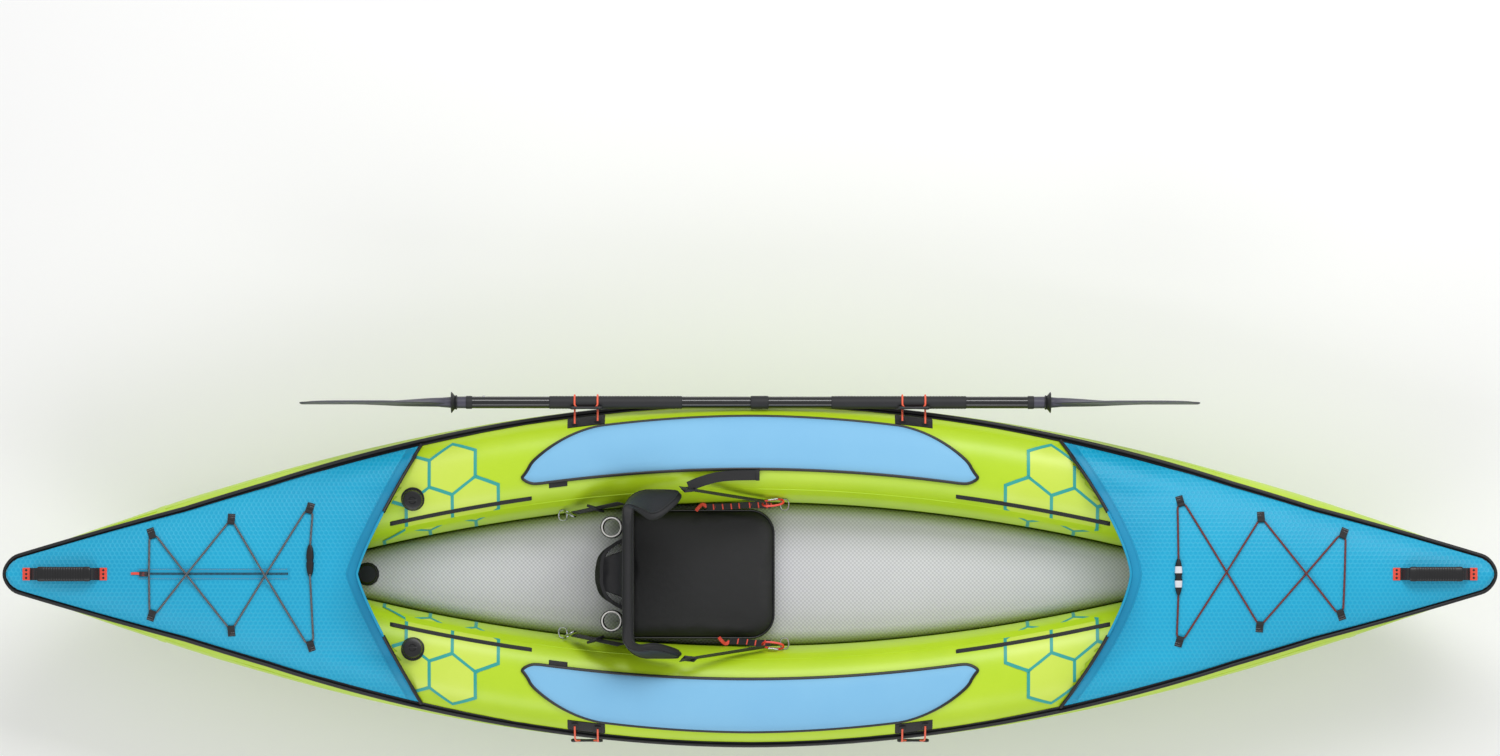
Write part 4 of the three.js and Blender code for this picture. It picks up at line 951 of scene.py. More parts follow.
def seamLine(side, stand):
    made = []
    for x in tubeStations(150):
        point = tubeRing(x, 0, 0, side)
        ahead = tubeRing(min(x + 0.003, skinHalf), 0, 0, side) - tubeRing(max(x - 0.003, -skinHalf), 0, 0, side)
        ahead.z = 0
        ahead.normalize()
        outward = Vector((-ahead.y, ahead.x, 0)) * side
        if abs(x) > skinHalf - 1e-4:
            outward = Vector((math.copysign(1, x), side * 0.3, 0)).normalized()
        made.append(point + outward * stand * 0.9 + Vector((0, 0, stand * 0.35)))
    return made


def makePiping():
    path = seamLine(1, pipingParts["radius"]) + list(reversed(seamLine(-1, pipingParts["radius"])))
    bm = sweep(path, circleProfile(pipingParts["radius"], 10), loop=True)
    for side in (1, -1):
        bm = tubeBand(tubeStations(150)[3:-3], pipingParts["flangeFrom"], pipingParts["flangeTo"],
                      pipingParts["flangeLift"], side, 2, False, bm)
    makePiece("gunwale_edge_piping", bm, "piping", "hull", ("gunwale_piping",), 50)


# decks and splash guards

deckParts = {"columns": 110, "rows": 72, "fold": 0.0013, "pipingRadius": 0.0042, "pipedFrom": 0.150,
             "tip": 1.8175, "thick": 0.0011}


def deckPlan(sign, u, v):
    x = sign * 0.8
    for _ in range(14):
        x = sign * coamingX(sign, v * tubeRing(x, 0.25).y)
    start = abs(x)
    reach = start + (deckParts["tip"] - start) * u ** 0.92
    return sign * reach, v * tubeRing(sign * reach, 0.25).y


# Tension folds that run from the lacing points, and a slow quilting of the cloth.
def deckRipple(sign, x, y, u):
    waves = noise.noise(Vector((x * 9, y * 16, 3.0 * sign))) * 0.9 + noise.noise(Vector((x * 26, y * 30, 5.5))) * 0.35
    radial = math.sin(math.atan2(abs(y) - 0.30, abs(x) - coaming[sign]["side"]) * 26 + sign)
    near = math.exp(-((math.hypot(abs(y) - 0.30, abs(x) - coaming[sign]["side"])) / 0.2) ** 2)
    edge = smoothStep(u / 0.05) * smoothStep((1 - u) / 0.05)
    return deckParts["fold"] * edge * (0.75 * waves + 0.55 * radial * near)


def makeDecks():
    for end, sign in ends.items():
        points, uvs = [], []
        for i in range(deckParts["columns"] + 1):
            u = i / deckParts["columns"]
            column = []
            for j in range(deckParts["rows"] + 1):
                v = 2 * j / deckParts["rows"] - 1
                v = math.copysign(1 - (1 - abs(v)) ** 1.25, v)
                x, y = deckPlan(sign, u, v)
                lift = deckRipple(sign, x, y, u) * (1 - abs(v) ** 8) + 0.0016
                column.append(Vector((x, y, deckHeight(x, y) + lift - 0.0034 * smoothStep((abs(v) - 0.97) / 0.03))))
            points.append(column)
            uvs.append([(p.x, p.y) for p in column])
        bm = faceAlong(gridMesh(points, uvs), (0, 0, 1))
        area = areaOf(bm)
        deck = makePiece(end + "_deck_cloth", bm, "deck", "hull", (end + "_deck",), 50,
                         outward=False)
        addWall(deck, deckParts["thick"])
        makeDeckEdge(end, sign)


def coamingPoint(sign, y, lift=0.0, inset=0.0):
    x = sign * (coamingX(sign, y) + inset)
    return Vector((x, y, deckHeight(x, y) + lift))


def coamingReach(sign):
    y = 0.30
    for _ in range(20):
        y = tubeRing(sign * coamingX(sign, y), 0.25).y
    return y


def makeDeckEdge(end, sign):
    reach = coamingReach(sign)
    bm = None
    for side in (1, -1):
        ys = spaced(deckParts["pipedFrom"], reach, 34)
        path = [coamingPoint(sign, side * y, 0.0028) for y in ys]
        bm = sweep(path, circleProfile(deckParts["pipingRadius"], 9), bm=bm)
    makePiece(end + "_deck_piping", bm, "piping")
    ys = spaced(-reach + 0.01, reach - 0.01, 90)
    points = []
    for y in ys:
        points.append([coamingPoint(sign, y, h, d) for h, d in
                       ((0.0012, -0.0006), (0.0034, 0.0), (0.0036, 0.008), (0.0034, 0.028), (0.0020, 0.0288))])
    hem = faceAlong(gridMesh(points), (0, 0, 1))
    makePiece(end + "_deck_hem", hem, "hem", outward=False)
    stitches = bmesh.new()
    for inset in (0.0065, 0.0245):
        y = -reach + 0.02
        while y < reach - 0.02:
            here, there = coamingPoint(sign, y, 0.0040, inset), coamingPoint(sign, y + 0.0032, 0.0040, inset)
            sweep([here, here.lerp(there, 0.5) + Vector((0, 0, 0.0003)), there], circleProfile(0.0004, 4), bm=stitches)
            y += 0.0052
    makePiece(end + "_deck_stitches", stitches, "hem")


visorParts = {"height": 0.088, "halfSpan": 0.290, "lean": 0.006, "setback": 0.004}


def visorPoint(sign, y, share, out=0.0):
    rise = 0.006 + (visorParts["height"] - 0.006) * (1 - (abs(y) / visorParts["halfSpan"]) ** 1.6)
    x = coamingX(sign, y) + visorParts["setback"] - visorParts["lean"] * share ** 2 + out
    crease = 0.0014 * noise.noise(Vector((y * 24, share * 2, sign * 4))) * math.sin(math.pi * share)
    x += crease - 0.0035 * math.sin(math.pi * share) * (1 - (abs(y) / visorParts["halfSpan"]) ** 2)
    x = sign * x
    return Vector((x, y, deckHeight(x, y) + 0.001 + rise * share))


def makeVisors():
    for end, sign in ends.items():
        span = visorParts["halfSpan"]
        ys = [span * (i / 40) for i in range(-40, 41)]
        points = [[visorPoint(sign, y, j / 14) for j in range(15)] for y in ys]
        bm = faceAlong(gridMesh(points, [[(y, j / 14 * 0.09) for j in range(15)] for y in ys]), (sign, 0, 0.2))
        area = areaOf(bm)
        visor = makePiece(end + "_splash_guard", bm, "deck", "hull", (end + "_visor",),
                          50, outward=False)
        addWall(visor, 0.0022, 0)
        inner = [y for y in ys if abs(y) <= deckParts["pipedFrom"]]
        bm = sweep([visorPoint(sign, y, 1.0) for y in inner], circleProfile(0.0030, 8))
        rims = bmesh.new()
        for side in (-1, 1):
            outer = [y for y in ys if side * y >= deckParts["pipedFrom"] - 0.002]
            sweep([visorPoint(sign, y, 1.0) for y in outer], circleProfile(deckParts["pipingRadius"], 9), bm=rims)
        makePiece(end + "_splash_guard_piping", rims, "piping")
        for side in (-1, 1):
            for depth in (0.82, 0.9):
                low = [visorPoint(sign, y, depth, 0.0013 * side) for y in ys[6:-6]]
                sweep(low, circleProfile(0.0007, 5), bm=bm)
        makePiece(end + "_splash_guard_hem", bm, "hem")
        foot = sweep([visorPoint(sign, y, 0.0) + Vector((0, 0, 0.001)) for y in ys], bandProfile(0.010, 0.0026))
        makePiece(end + "_splash_guard_foot", foot, "hem")


# side pads and tube zips

padParts = {"half": 0.555, "thick": 0.0085, "border": 0.0044, "taperFrom": 0.36, "inner": 3.72, "rows": 16}


def padSpan(x):
    t = abs(x) / padParts["half"]
    outer = 1.28 + 0.2 * t ** 2
    taper = clamp((abs(x) - padParts["taperFrom"]) / (padParts["half"] - padParts["taperFrom"]), 0, 1)
    outer += 1.75 * taper ** 1.7
    rounding = clamp((abs(x) - (padParts["half"] - 0.05)) / 0.05, 0, 1)
    inner = padParts["inner"] - 0.30 * (1 - math.sqrt(max(0.0, 1 - rounding ** 2)))
    outer = min(outer, inner)
    middle = (outer + inner) / 2
    pinch = math.sqrt(max(0.0, 1 - clamp((abs(x) - padParts["half"] + 0.03) / 0.03, 0, 1) ** 2))
    return lerp(middle, outer, pinch), lerp(middle, inner, pinch)


def makePads():
    for label, side in sides.items():
        xs = [padParts["half"] * math.sin(math.pi / 2 * (2 * i / 120 - 1)) for i in range(121)]
        rows = padParts["rows"]
        points, uvs, edge = [], [], ([], [])
        for x in xs:
            a, b = padSpan(x)
            column = []
            for j in range(rows + 1):
                v = j / rows
                k = lerp(a, b, 0.5 - 0.5 * math.cos(math.pi * v))
                toEdge = min((k - a), (b - k)) * 0.036
                toEnd = padParts["half"] - abs(x)
                rise = min(1.0, (max(toEdge, 0) / 0.012) ** 0.5, (max(toEnd, 0) / 0.012) ** 0.5)
                column.append(tubeRing(x, k, 0.0008 + padParts["thick"] * rise, side))
            points.append(column)
            uvs.append([(p.x, p.y) for p in column])
            edge[0].append(tubeRing(x, a, 0.0022, side))
            edge[1].append(tubeRing(x, b, 0.0022, side))
        bm = faceAlong(gridMesh(points, uvs), (0, 0, 1))
        pad = makePiece(label + "_side_pad", bm, "pad", "hull", (label + "_pad",), 50,
                        outward=False)
        addWall(pad, 0.0015)
        loop = edge[0] + list(reversed(edge[1][1:-1]))
        loop = [p for i, p in enumerate(loop) if (p - loop[i - 1]).length > 0.0012]
        border = sweep(loop, circleProfile(padParts["border"], 8), up=(0, 0, 1), loop=True)
        makePiece(label + "_pad_piping", border, "piping")


zipParts = {"from": 0.500, "to": 0.880, "k": 4.55, "width": 0.0125, "tooth": 0.0028}


def makeTubeZips():
    for label, side in sides.items():
        for end, sign in ends.items():
            start = zipParts["from"] if sign > 0 else 0.530
            xs = spaced(sign * start, sign * zipParts["to"], 60)
            half = zipParts["width"] / 2
            bm = tubeBand(xs, lambda x: runOf(x, zipParts["k"]) - half, lambda x: runOf(x, zipParts["k"]) + half,
                          0.0012, side, 3)
            count = int((zipParts["to"] - start) / zipParts["tooth"] / 2)
            for i in range(count):
                x = sign * lerp(start + 0.004, zipParts["to"] - 0.004, i / count)
                spot = tubeRun(x, runOf(x, zipParts["k"]), 0.0016, side)
                up = tubeNormal(x, zipParts["k"], side)
                block((0.0026, 0.0050, 0.0018), 0, standing(spot, up), bm)
            makePiece(label + "_" + end + "_zip_strip", bm, "piping", "hull", (label + "_" + end + "_zip",),
                      40)


makeCamera()
makeStage()
makeTubes()
makeSeamTapes()
makeBottom()
makeFloor()
makePrints()
makePiping()
makeDecks()
makeVisors()
makePads()
makeTubeZips()
print("hull cloth made")

# valves

valveParts = {"x": -0.823, "y": 0.1831, "z": 0.24635, "lean": (-0.0147, -0.1437, 0.9895), "radius": 0.025,
              "low": 0.0042, "height": 0.0215, "ribs": 26, "cut": 0.955}


def valvePlace(side):
    lean = valveParts["lean"]
    return standing((valveParts["x"], side * valveParts["y"], valveParts["z"]), (lean[0], side * lean[1], lean[2]))


def ribbedCap(place):
    r, low = valveParts["radius"], valveParts["low"]
    high = low + valveParts["height"]
    profile = [(0.0, high - 0.0016), (r * 0.30, high - 0.0016), (r * 0.36, high), (r * 0.78, high),
               (r * 0.90, high - 0.0012), (r * 0.97, high - 0.0040), (r, high - 0.0075), (r, low + 0.0030),
               (r * 0.98, low + 0.0008), (r * 0.94, low), (0.0130, low), (0.0126, low - 0.005), (0.0, low - 0.005)]
    bm = turned(profile, 2 * valveParts["ribs"])
    for vert in bm.verts:
        spoke = round(math.atan2(vert.co.y, vert.co.x) / (math.pi / valveParts["ribs"]))
        if math.hypot(vert.co.x, vert.co.y) > r * 0.93 and spoke % 2:
            vert.co.x *= valveParts["cut"]
            vert.co.y *= valveParts["cut"]
    block((r * 1.1, 0.0048, 0.0026), 0.0012, Matrix.Translation((0, 0, high - 0.0006)), bm)
    bmesh.ops.transform(bm, matrix=place, verts=bm.verts)
    return bm


def makeValves():
    for label, side in sides.items():
        place = valvePlace(side)
        makePiece(label + "_ribbed_cap", ribbedCap(place), "plastic", label + "_cap",
                  (label + "_valve_cap",), 30)
        profile = [(0.0142, 0.0030), (0.0262, 0.0036), (0.0284, 0.0031), (0.0292, 0.0020), (0.0292, 0.0003),
                   (0.0200, 0.0003), (0.0200, -0.0260), (0.0056, -0.0260), (0.0056, -0.0222), (0.0142, -0.0222),
                   (0.0142, 0.0030)]
        bm = turned(profile, 48)
        for turn in range(6):
            arm = Matrix.Rotation(math.radians(60 * turn), 4, "Z") @ Matrix.Translation((0.0272, 0, 0.0034))
            block((0.0018, 0.007, 0.0010), 0.0003, arm, bm)
        bmesh.ops.transform(bm, matrix=place, verts=bm.verts)
        makePiece(label + "_valve_flange", bm, "plastic", "hull", (label + "_valve_body",),
                  30)


# stern deck zip

deckZipParts = {"from": -1.495, "to": -1.123, "half": 0.0150, "tooth": 0.0030, "slider": -1.490}


def deckSpot(x, y, lift=0.0):
    return Vector((x, y, deckHeight(x, y) + 0.0016 + lift))


def makeDeckZip():
    xs = spaced(deckZipParts["from"], deckZipParts["to"], 80)
    half = deckZipParts["half"]
    across = [(-half, -0.001), (-half + 0.0008, 0.0010), (-0.008, 0.0011), (-0.0030, 0.0013), (0.0030, 0.0013),
              (0.008, 0.0011), (half - 0.0008, 0.0010), (half, -0.001)]
    bm = faceAlong(gridMesh([[deckSpot(x, y, h) for y, h in across] for x in xs]), (0, 0, 1))
    makePiece("stern_deck_zip_tape", bm, "hem", "hull", ("stern_deck_zip",),
              outward=False)
    teeth = bmesh.new()
    x = deckZipParts["from"] + 0.004
    while x < deckZipParts["to"] - 0.004:
        block((0.0017, 0.0056, 0.0016), 0, Matrix.Translation(deckSpot(x, 0.0007, 0.0018)), teeth)
        x += deckZipParts["tooth"]
    makePiece("stern_deck_zip_coil", teeth, "piping")
    seams = bmesh.new()
    for y in (-half + 0.0035, half - 0.0035):
        x = deckZipParts["from"] + 0.003
        while x < deckZipParts["to"] - 0.006:
            sweep([deckSpot(x, y, 0.0014), deckSpot(x + 0.0017, y, 0.0018), deckSpot(x + 0.0034, y, 0.0014)],
                  circleProfile(0.0004, 4), bm=seams)
            x += 0.0058
    makePiece("stern_deck_zip_stitches", seams, "thread")
    makeSlider()


def makeSlider():
    x = deckZipParts["slider"] + 0.010
    tilt = standing(deckSpot(x, 0, 0.0016), deckNormal(x, 0))
    bm = block((0.021, 0.0125, 0.0034), 0.0014, tilt @ Matrix.Translation((0, 0, 0.0030)))
    block((0.012, 0.0038, 0.0028), 0.0010, tilt @ Matrix.Translation((0, 0, 0.0056)), bm)
    makePiece("zip_slider_body", bm, "darkMetal", "deck_zip_slider", ("zip_slider",))
    pull = [tilt @ Vector(p) for p in ((0.002, 0, 0.0050), (-0.006, 0, 0.0038), (-0.011, 0.001, 0.0026),
                                       (-0.020, 0.0015, 0.0021), (-0.031, 0.001, 0.0020))]
    bm = sweep(smoothPath(pull, 5), bandProfile(0.0062, 0.0011))
    makePiece("zip_slider_pull", bm, "red", "deck_zip_slider")


# carry handles

handleParts = {"x": 1.673, "grip": 0.133, "width": 0.036, "height": 0.013, "rise": 0.0252, "ribPitch": 0.0062,
               "ribDepth": 0.0007, "strapWidth": 0.030, "strapThick": 0.0024, "footEnd": 0.1020,
               "tabFrom": 0.0855, "tabTo": 0.1035}


def handleSpot(sign, along, y, lift):
    slope = math.atan((hull["ridgeAtCockpit"] - hull["ridgeAtTip"]) / hull["ridgeLength"])
    x = sign * handleParts["x"]
    base = Vector((x, 0, deckHeight(x, 0) + 0.0006))
    right = Vector((math.cos(slope), 0, -sign * math.sin(slope)))
    return base + right * along + Vector((0, y, 0)) + Vector((sign * math.sin(slope), 0, math.cos(slope))) * lift


def makeGrip(end, sign):
    length = handleParts["grip"]
    count = 130
    rings = []
    for i in range(count + 1):
        u = length * (i / count - 0.5)
        toEnd = length / 2 - abs(u)
        taper = math.sqrt(1 - (1 - clamp(toEnd / 0.006, 0, 1)) ** 2) * 0.35 + 0.65
        flare = 1 + 0.10 * math.exp(-(toEnd / 0.010) ** 2)
        ridge = handleParts["ribDepth"] * (0.5 + 0.5 * math.cos(2 * math.pi * u / handleParts["ribPitch"]))
        ridge = ridge if toEnd > 0.016 else handleParts["ribDepth"]
        ring = []
        for j in range(33):
            angle = 2 * math.pi * j / 32
            y = signedPower(math.cos(angle), 0.72) * (handleParts["width"] / 2 - handleParts["ribDepth"] + ridge)
            z = signedPower(math.sin(angle), 0.72) * (handleParts["height"] / 2 - handleParts["ribDepth"] + ridge)
            scale = taper * min(flare, 1.0)
            ring.append(handleSpot(sign, u, y * scale, handleParts["rise"] + z * scale))
        rings.append(ring)
    bm = gridMesh(rings)
    sealEnds(bm)
    makePiece(end + "_ribbed_grip", bm, "plastic", end + "_handle", (end + "_handle_grip",),
              50)


def makeHandles():
    for end, sign in ends.items():
        makeGrip(end, sign)
        for name, way in (("inner", -1), ("outer", 1)):
            line = [(0.0, 0.0252), (0.050, 0.0252), (0.066, 0.0246), (0.073, 0.0200), (0.0785, 0.0075),
                    (0.0825, 0.0020), (0.088, 0.0014), (0.096, 0.0014), (handleParts["footEnd"], 0.0014)]
            path = smoothPath([handleSpot(sign, way * sign * u, 0, h) for u, h in line], 6)
            up = []
            for i, p in enumerate(path):
                ahead = path[min(i + 1, len(path) - 1)] - path[max(i - 1, 0)]
                up.append(ahead.cross(Vector((0, 1, 0))) * (-way * sign))
            up = [u if u.length > 1e-9 else Vector((0, 0, 1)) for u in up]
            bm = sweep(path, bandProfile(handleParts["strapWidth"], handleParts["strapThick"]), up=up)
            stands = (end + "_handle_strap",) if way < 0 else ()
            crossingPiece(end + "_handle_strap_" + name, bm, "webbing",
                          handleSpot(sign, way * sign * 0.086, 0, 0.002),
                          handleSpot(sign, way * sign * 0.068, 0, 0.02), stands)
            near, far = handleParts["tabFrom"], handleParts["tabTo"]
            centre = handleSpot(sign, way * sign * (near + far) / 2, 0, 0.0033)
            tilt = standing(centre, handleSpot(sign, 0, 0, 1) - handleSpot(sign, 0, 0, 0))
            feet = block((far - near, 0.0305, 0.0012), 0.0005, tilt)
            makePiece(end + "_handle_tab_" + name, feet, "red", "hull")
            marks = bmesh.new()
            for step in (-1, 0, 1):
                centre = handleSpot(sign, way * sign * 0.0945, step * 0.0095, 0.0040)
                tilt = standing(centre, (0, 0, 1)) @ Matrix.Rotation(math.radians(45), 4, "Z")
                block((0.0052, 0.0052, 0.0006), 0.0002, tilt, marks)
            makePiece(end + "_handle_pattern_" + name, marks, "piping")


# deck bungees

bungeeParts = {"radius": 0.0025, "turn": 0.0115, "hump": 0.006, "tabWidth": 0.018}
lacing = {"bow": {"anchors": [(1.052, 0.170), (1.050, -0.157), (1.248, 0.131), (1.245, -0.121), (1.447, 0.092),
                              (1.441, -0.092)], "clasp": (1.045, -0.007), "claspHalf": 0.044, "under": 0.0},
          "stern": {"anchors": [(-1.076, 0.153), (-1.074, -0.168), (-1.267, 0.126), (-1.267, -0.131),
                                (-1.459, 0.092), (-1.459, -0.094)], "clasp": (-1.073, 0.033), "claspHalf": 0.039,
                    "under": 0.0050}}


# The line of a cord round small pins: its straight runs touch each pin's circle.
def lacedLine(stops, radii, turns):
    made = [Vector(stops[0])]
    headings = []
    for i in range(len(stops) - 1):
        d = Vector(stops[i + 1]) - Vector(stops[i])
        gap = (turns[i] * radii[i] - turns[i + 1] * radii[i + 1]) / d.length
        headings.append(math.atan2(d.y, d.x) + math.asin(gap))
    for i in range(1, len(stops) - 1):
        first, last = headings[i - 1], headings[i]
        swing = (last - first + math.pi) % (2 * math.pi) - math.pi
        if swing * turns[i] < 0:
            swing += 2 * math.pi * turns[i]
        for step in range(9):
            h = first + swing * step / 8
            made.append(Vector(stops[i]) - Vector((-math.sin(h), math.cos(h))) * turns[i] * radii[i])
    made.append(Vector(stops[-1]))
    return made


def makeBungees():
    for end, plan in lacing.items():
        p0, s0, p1, s1, p2, s2 = [Vector(a) for a in plan["anchors"]]
        clasp = Vector(plan["clasp"])
        order = [p0, s1, p2, s2, p1, s0]
        begin = clasp + Vector((0, plan["claspHalf"] - 0.006))
        finish = clasp - Vector((0, plan["claspHalf"] - 0.006))
        centres, turns = [], []
        ring = [begin] + order + [finish]
        for i in range(1, 7):
            inward = ((ring[i - 1] - ring[i]).normalized() + (ring[i + 1] - ring[i]).normalized()).normalized()
            centres.append(ring[i] + inward * bungeeParts["turn"])
            before, after = ring[i] - ring[i - 1], ring[i + 1] - ring[i]
            turns.append(1 if before.x * after.y - before.y * after.x > 0 else -1)
        plain = lacedLine([begin] + centres + [finish], [0] + [bungeeParts["turn"]] * 6 + [0], [1] + turns + [1])
        path = liftedCord(plain, plan)
        bm = sweep(path, circleProfile(bungeeParts["radius"], 8))
        material = "redBraid" if end == "bow" else "braid"
        cord = makePiece(end + "_deck_cord", bm, material, "hull", (end + "_bungee",), 60)
        lock = makeClasp(end, plan, clasp)
        tabs, stitches = bmesh.new(), bmesh.new()
        for anchor, centre in zip(order, centres):
            makeTab(tabs, stitches, anchor, (Vector(centre) - anchor).normalized())
        makePiece(end + "_cord_tabs", tabs, "webbing")
        makePiece(end + "_cord_tab_stitches", stitches, "thread")


def liftedCord(plain, plan):
    dense = []
    for a, b in zip(plain, plain[1:]):
        parts = max(1, int((b - a).length / 0.012))
        dense += [a.lerp(b, k / parts) for k in range(parts)]
    dense.append(plain[-1])
    crossed = crossings(dense)
    path = []
    run = [0.0]
    for a, b in zip(dense, dense[1:]):
        run.append(run[-1] + (b - a).length)
    for i, p in enumerate(dense):
        hump = 0.0
        for at in crossed:
            near = abs(run[i] - run[at])
            hump = max(hump, bungeeParts["hump"] * math.cos(clamp(near / 0.07, 0, 1) * math.pi / 2) ** 2)
        over = plan["under"] * smoothStep((0.034 - abs(p.y)) / 0.018) if plan["under"] else 0.0
        path.append(Vector((p.x, p.y, deckHeight(p.x, p.y) + 0.0016 + bungeeParts["radius"] + 0.0007 + hump + over)))
    return path


# The later of the two places along a line wherever it crosses itself.
def crossings(line):
    found = []
    for i in range(len(line) - 1):
        for j in range(i + 3, len(line) - 1):
            a, b, c, d = line[i], line[i + 1], line[j], line[j + 1]
            if crossSide(a, b, c) * crossSide(a, b, d) < 0 and crossSide(c, d, a) * crossSide(c, d, b) < 0:
                found.append(j)
    return found


def crossSide(a, b, p):
    return (b.x - a.x) * (p.y - a.y) - (b.y - a.y) * (p.x - a.x)


def makeClasp(end, plan, clasp):
    half = plan["claspHalf"]
    rings = []
    for i in range(49):
        t = i / 48 * 2 - 1
        width = 0.0035 + 0.0058 * (1 - abs(t) ** 3.2)
        width *= 0.86 if abs(t) < 0.12 else 1.0
        height = 0.0034 + 0.0016 * (1 - abs(t) ** 4)
        y = clasp.y + t * half
        low = deckHeight(clasp.x, y) + 0.0016 + 0.0052
        rings.append([Vector((clasp.x + signedPower(math.cos(2 * math.pi * j / 20), 0.8) * width, y,
                              low + signedPower(math.sin(2 * math.pi * j / 20), 0.8) * height)) for j in range(21)])
    bm = gridMesh(rings)
    sealEnds(bm)
    for face in bm.faces:
        offset = abs(face.calc_center_median().y - clasp.y)
        face.material_index = 1 if end == "bow" and 0.010 < offset < 0.026 else 0
    second = "whitePlastic" if end == "bow" else "dullPlastic"
    return makePiece(end + "_cord_clasp", bm, ["plastic", second], "hull", (), 50)


def makeTab(tabs, stitches, anchor, inward):
    outlined = [(-0.021, 0.0012), (-0.013, 0.0016), (-0.0075, 0.0026), (-0.0035, 0.0060), (0.0, 0.0072),
                (0.0034, 0.0060), (0.0046, 0.0030), (0.0036, 0.0008)]
    path = []
    for s, h in outlined:
        spot = anchor + inward * s
        path.append(deckSpot(spot.x, spot.y, h))
    sweep(smoothPath(path, 4), bandProfile(bungeeParts["tabWidth"], 0.0013), bm=tabs)
    along = Vector((-inward.y, inward.x))
    for s in (-0.018, -0.0125):
        for k in range(-3, 4):
            centre = anchor + inward * s + along * k * 0.0024
            tip = centre + along * 0.0015
            sweep([deckSpot(centre.x, centre.y, 0.0022), deckSpot(tip.x, tip.y, 0.0024)], circleProfile(0.0004, 4),
                  bm=stitches)


# fin

finParts = {"root": -0.9593, "chord": 0.125, "exit": -0.019, "half": 0.0030, "columns": 26}


def quadratic(a, b, c, t):
    return (1 - t) ** 2 * Vector(a) + 2 * t * (1 - t) * Vector(b) + t * t * Vector(c)


def makeFin():
    root = finParts["root"]
    rings = []
    for i in range(finParts["columns"] + 1):
        t = 1 - (1 - i / finParts["columns"]) ** 1.35
        lead = quadratic((root, finParts["exit"]), (root - 0.084, -0.087), (root - 0.200, -0.2075), t)
        trail = quadratic((root - finParts["chord"], finParts["exit"]), (root - 0.147, -0.114),
                          (root - 0.206, -0.194), t)
        half = finParts["half"] * (1.0 - 0.55 * t ** 2)
        half *= math.sqrt(1 - clamp((t - 0.94) / 0.06, 0, 1) ** 2) * 0.96 + 0.04
        ring = []
        for j in range(29):
            angle = 2 * math.pi * j / 28
            share = 0.5 + 0.5 * math.cos(angle)
            foil = 2.0 * half * (abs(math.sin(angle)) ** 0.9) * (0.42 + 0.58 * (1 - abs(share - 0.62)) ** 1.5) / 2
            p = trail.lerp(lead, share)
            ring.append(Vector((p.x, math.copysign(foil, math.sin(angle)), p.y)))
        rings.append(ring)
    bm = gridMesh(rings)
    sealEnds(bm)
    bmesh.ops.recalc_face_normals(bm, faces=bm.faces)
    middle = root - finParts["chord"] / 2
    block((finParts["chord"], 0.0056, 0.016), 0.0008, Matrix.Translation((middle, 0, -0.0145)), bm)
    block((finParts["chord"], 0.0196, 0.0042), 0.0010, Matrix.Translation((middle, 0, -0.0062)), bm)
    makePiece("orange_fin", bm, "fin", "skeg", ("fin",), 50)


makeValves()
makeDeckZip()
makeHandles()
makeBungees()
makeFin()
print("hull fittings made")

# seat cushion and back

cushionParts = {"back": -0.3050, "front": 0.0570, "halfY": 0.1560, "low": 0.1035, "high": 0.1420, "corner": 0.058,
                "voxel": 0.0055, "pressure": 4.0, "cap": 0.006, "piping": 0.0024}


def roundedOutline(x0, x1, halfY, corners, steps=8):
    made = []
    for (cx, cy, start), r in zip(((x1, halfY, 0), (x0, halfY, 90), (x0, -halfY, 180), (x1, -halfY, 270)), corners):
        centre = Vector((cx - math.copysign(r, cx - (x0 + x1) / 2), cy - math.copysign(r, cy)))
        for k in range(steps + 1):
            a = math.radians(start + 90 * k / steps)
            made.append(centre + Vector((math.cos(a), math.sin(a))) * r)
    return made


def evaluatedMesh(piece):
    return bpy.data.meshes.new_from_object(piece.evaluated_get(bpy.context.evaluated_depsgraph_get()))


# Remeshes a closed form, lets it swell like a filled cover, and caps how far any point may go.
def swollen(name, bm, voxel, pressure, cap):
    piece = meshObject(name, bm, 60)
    remesh = piece.modifiers.new("remesh", "REMESH")
    remesh.mode = "VOXEL"
    remesh.voxel_size = voxel
    bpy.context.view_layer.update()
    even = evaluatedMesh(piece)
    piece.modifiers.clear()
    piece.data = even
    rest = [vert.co.copy() for vert in even.vertices]
    cloth = piece.modifiers.new("cloth", "CLOTH")
    cloth.settings.use_pressure = True
    cloth.settings.uniform_pressure_force = pressure
    cloth.settings.effector_weights.gravity = 0
    for step in range(1, 21):
        bpy.context.scene.frame_set(step)
    blown = [vert.co.copy() for vert in evaluatedMesh(piece).vertices]
    piece.modifiers.clear()
    bpy.context.scene.frame_set(1)
    for vert, before, after in zip(piece.data.vertices, rest, blown):
        shift = after - before
        if shift.length > cap:
            shift *= cap / shift.length
        vert.co = before + shift
    made = bmesh.new()
    made.from_mesh(piece.data)
    bpy.data.objects.remove(piece)
    for _ in range(2):
        bmesh.ops.smooth_vert(made, verts=made.verts, factor=0.4, use_axis_x=True, use_axis_y=True, use_axis_z=True)
    return made


